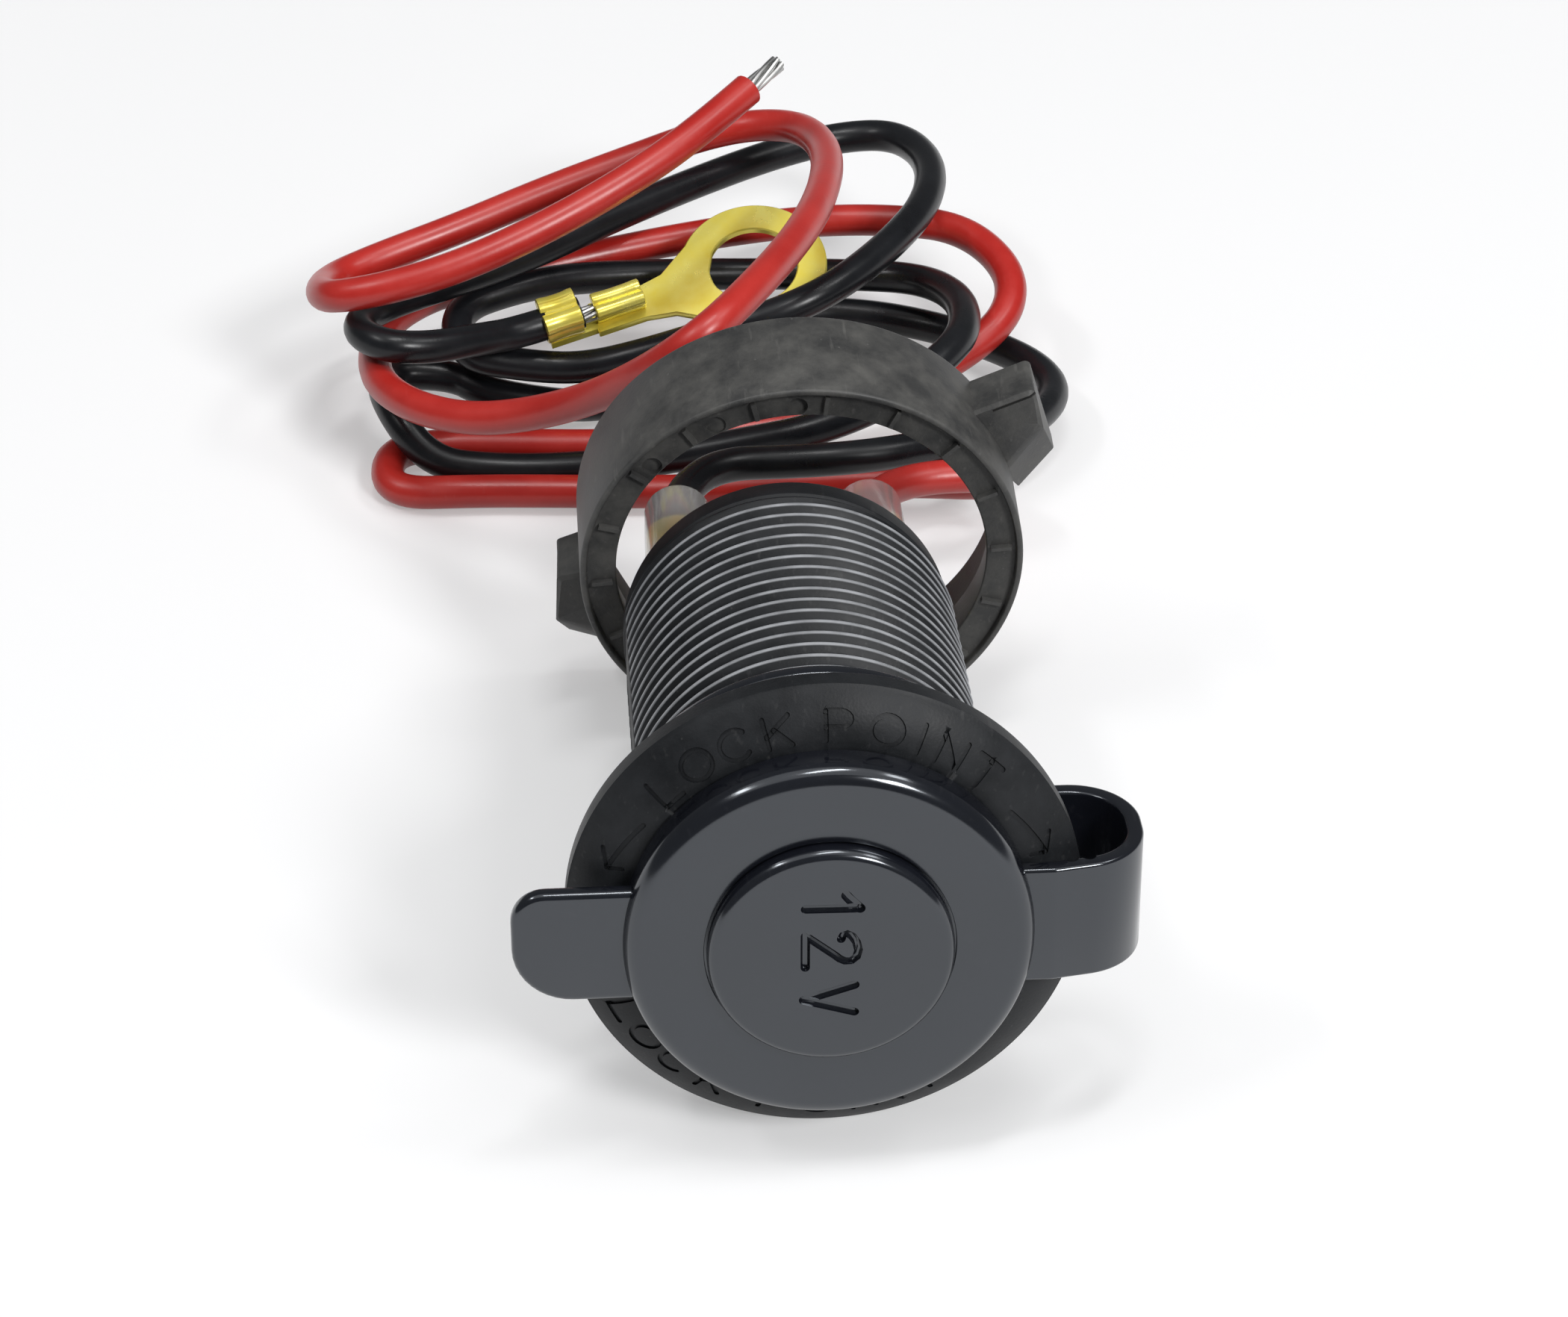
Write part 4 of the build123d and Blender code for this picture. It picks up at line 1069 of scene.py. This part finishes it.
red_start = lead_start(BLADE_X)
black_start = lead_start(-BLADE_X)
eye_end = on_terminal([(GRIP_LEN + 0.2, 0, 0)])
red_line = np.concatenate([red_start, on_floor(RED_ROUTE)])
red_lead = lead_curve("red_lead", red_line, red_cover)
black_line = np.concatenate([black_start, on_floor(BLACK_ROUTE), eye_end])
black_lead = lead_curve("black_lead", black_line, black_cover)
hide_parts("red_wire")
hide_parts("black_wire")
red_way = red_line[-1] - red_line[-2]
red_bundle = strand_bundle(red_line[-1], red_way, BARE_LEN * MM, twist=0.22)
red_tip = make_piece("red_strands", shell_mesh("red_strands", red_bundle), tinned)
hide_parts("red_conductor")

# Ring terminal
GRIP_GAP = 0.03
GRIP_ROUND = 72
EYE_EDGE = 0.12
STRIP_Z = -(WIRE_D / 2 + GRIP_GAP + EYE_T / 2)
ROLL_Z = STRIP_Z + EYE_T / 2 + 0.9


def lobed(angle, circles):
    """How far the outermost of several circles lies from the middle at each angle."""
    reach = []
    for y, z, radius in circles:
        along = y * np.cos(angle) + z * np.sin(angle)
        reach.append(along + np.sqrt(np.clip(along ** 2 - y * y - z * z + radius * radius, 0, None)))
    return np.max(reach, axis=0)


def rolled_grip(start, length, middle_z, circles, hole):
    """A rolled crimp: a lobed outline carried along the wire and folded in at both ends to a round
    hole. The outline opens a little towards each end, as a pressed crimp does."""
    angle = np.linspace(0.0, 2 * math.pi, GRIP_ROUND, endpoint=False)
    outline = lobed(angle, circles)
    share = np.array([0.0, 0.02, 0.12, 0.3, 0.5, 0.7, 0.88, 0.98, 1.0])
    swell = np.array([0.93, 1.0, 1.0, 0.97, 0.96, 0.97, 1.0, 1.0, 0.93])
    outer = outline * swell[:, None]
    inner = np.full((len(share), GRIP_ROUND), hole)
    radius = np.concatenate([outer, inner[::-1]])
    x = start + length * np.concatenate([share, share[::-1]])
    x = np.broadcast_to(x[:, None], radius.shape)
    z = middle_z + radius * np.sin(angle)
    return loop(on_terminal(np.stack([x, radius * np.cos(angle), z], -1)))


def eye_plate():
    """The flat eye and its neck: an outline seen from the middle of the eye, with the hole's circle
    inside it at the same angles, and both folded over from the upper to the lower side."""
    ring = np.radians(np.linspace(-139, 139, 90))
    circle = EYE_R * np.stack([np.cos(ring), np.sin(ring)], -1)
    neck_end = -EYE_AT + CRIMP_AT - 0.2
    neck = np.array([(-8.6, 2.3), (-11.4, 1.75), (neck_end, 1.75), (neck_end, 0)])
    mirrored = neck[::-1] * np.array([1, -1])
    outline = np.concatenate([circle, neck, mirrored[1:]])
    away = np.linalg.norm(outline, axis=1)[:, None]
    hole = outline / away * EYE_HOLE_R
    edge = outline * (1 - EYE_EDGE / away)
    lip = outline / away * (EYE_HOLE_R + EYE_EDGE)
    half = EYE_T / 2
    eased = half - EYE_EDGE
    rows = []
    for flat, z in ((hole, -eased), (lip, -half), (edge, -half), (outline, -eased),
                    (outline, eased), (edge, half), (lip, half), (hole, eased)):
        rows.append(np.column_stack([flat[:, 0] + EYE_AT, flat[:, 1], np.full(len(flat), STRIP_Z + z)]))
    return loop(on_terminal(np.stack(rows)))


# Circles of each rolled outline, as (y, z, radius): two rolled edges and the wire's round
grip_circles = [(1.02, 1.2, 1.0), (-1.02, 1.2, 1.0), (0, -0.1, 1.8)]
crimp_circles = [(0.72, 0.82, 0.7), (-0.72, 0.82, 0.7), (0, -0.1, 1.1)]
terminal_mesh = shell_mesh("ring_terminal", [
    eye_plate(),
    rolled_grip(0.0, GRIP_LEN, 0.0, grip_circles, WIRE_D / 2 + GRIP_GAP),
    rolled_grip(CRIMP_AT, CRIMP_LEN, ROLL_Z, crimp_circles, BARE_D / 2 + GRIP_GAP),
])
SPINE_W = 1.3
SPINE_LOW = STRIP_Z - 0.4
SPINE_HIGH = STRIP_Z + 0.4
spine_outline = np.array([
    (-SPINE_W, SPINE_LOW), (SPINE_W, SPINE_LOW), (SPINE_W, SPINE_HIGH), (-SPINE_W, SPINE_HIGH),
])
spine_rows = [np.column_stack([np.full(4, x), spine_outline]) for x in (0.3, CRIMP_AT + 0.4)]
spine_mesh = shell_mesh("terminal_spine", [tube(on_terminal(np.stack(spine_rows)))])
terminal_mesh = carved(terminal_mesh, spine_mesh, "UNION")
ring_eye = make_piece("ring_eye", terminal_mesh, brass)
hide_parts("ring_terminal")
core_start = on_terminal((GRIP_LEN + 0.2, 0, ROLL_Z))
core_end = on_terminal((CRIMP_AT + CRIMP_LEN * 0.5, 0, ROLL_Z))
core_way = core_end - core_start
black_bundle = strand_bundle(core_start, core_way, float(np.linalg.norm(core_way)), twist=0.15)
core_mesh = shell_mesh("black_strands", black_bundle)
black_core = make_piece("black_strands", core_mesh, tinned)
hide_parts("black_conductor")

# Floor: white to the camera, in gloss and through glass, with the object's shadow on it, and greyer for
# bounced light
floor_mesh = bpy.data.meshes.new("floor")
FLOOR_HALF = 3.0
floor_mesh.from_pydata(
    [(-FLOOR_HALF, -FLOOR_HALF, 0), (FLOOR_HALF, -FLOOR_HALF, 0), (FLOOR_HALF, FLOOR_HALF, 0),
     (-FLOOR_HALF, FLOOR_HALF, 0)], [], [(0, 1, 2, 3)])
floor = bpy.data.objects.new("floor", floor_mesh)
bpy.context.scene.collection.objects.link(floor)
paper = bpy.data.materials.new("white_paper")
paper.use_nodes = True
paper_tree = paper.node_tree
paper_tree.nodes.remove(paper_tree.nodes["Principled BSDF"])
ray = paper_tree.nodes.new("ShaderNodeLightPath")
seen = ray.outputs["Is Camera Ray"]
for kind in ("Is Glossy Ray", "Is Transmission Ray"):
    seen = math_step(paper_tree, "MAXIMUM", seen, ray.outputs[kind])
shadowed = paper_tree.nodes.new("ShaderNodeBsdfDiffuse")
shadowed.inputs["Color"].default_value = (0.64, 0.64, 0.645, 1)
glow = paper_tree.nodes.new("ShaderNodeEmission")
glow.inputs["Strength"].default_value = 0.34
shown = paper_tree.nodes.new("ShaderNodeAddShader")
bounce = paper_tree.nodes.new("ShaderNodeBsdfDiffuse")
bounce.inputs["Color"].default_value = (0.42, 0.42, 0.43, 1)
choose = paper_tree.nodes.new("ShaderNodeMixShader")
feed(paper_tree, shown, {0: shadowed.outputs["BSDF"], 1: glow.outputs["Emission"]})
feed(paper_tree, choose, {0: seen, 1: bounce.outputs["BSDF"], 2: shown.outputs["Shader"]})
feed(paper_tree, paper_tree.nodes["Material Output"], {"Surface": choose.outputs["Shader"]})
floor_mesh.materials.append(paper)

world = bpy.data.worlds.new("studio")
bpy.context.scene.world = world
world.use_nodes = True
sky = world.node_tree.nodes["Background"]
sky.inputs["Color"].default_value = (0.94, 0.97, 1.0, 1)
sky.inputs["Strength"].default_value = 0.13


def soft_box(name, place, size, power, aim=(0.0, 0.01, 0.02)):
    """A rectangular lamp at a place in metres, turned to face the object."""
    lamp = bpy.data.lights.new(name, "AREA")
    lamp.shape = "RECTANGLE"
    lamp.size, lamp.size_y = size
    lamp.energy = power
    box = bpy.data.objects.new(name, lamp)
    box.location = place
    box.rotation_euler = (Vector(aim) - Vector(place)).to_track_quat("-Z", "Y").to_euler()
    bpy.context.scene.collection.objects.link(box)


soft_box("bright_ceiling", (0.0, -0.06, 0.82), (1.3, 0.75), 2.1)
soft_box("ceiling_left", (-0.48, -0.08, 0.70), (0.24, 0.07), 0.9)
soft_box("ceiling_middle", (0.03, -0.03, 0.80), (0.28, 0.07), 1.4)
soft_box("ceiling_right", (0.44, 0.0, 0.72), (0.20, 0.12), 0.6)
soft_box("right_window", (0.38, -0.56, 0.60), (0.20, 0.20), 4.4)

# Camera where the photograph was taken from
right = Vector(CAMERA_RIGHT).normalized()
forward = Vector(CAMERA_FORWARD).normalized()
up = right.cross(forward).normalized()
right = forward.cross(up).normalized()
camera_data = bpy.data.cameras.new("photo_camera")
camera_data.sensor_fit = "HORIZONTAL"
camera_data.sensor_width = SENSOR_MM
camera_data.lens = FOCAL_PX / PHOTO_WIDTH * SENSOR_MM
camera_data.clip_start = 0.01
camera = bpy.data.objects.new("photo_camera", camera_data)
turn = Matrix((right, up, -forward)).transposed().to_4x4()
camera.matrix_world = Matrix.Translation(Vector(on_floor(CAMERA_MM))) @ turn
bpy.context.scene.collection.objects.link(camera)
bpy.context.scene.camera = camera
bpy.context.scene.view_settings.view_transform = "Standard"
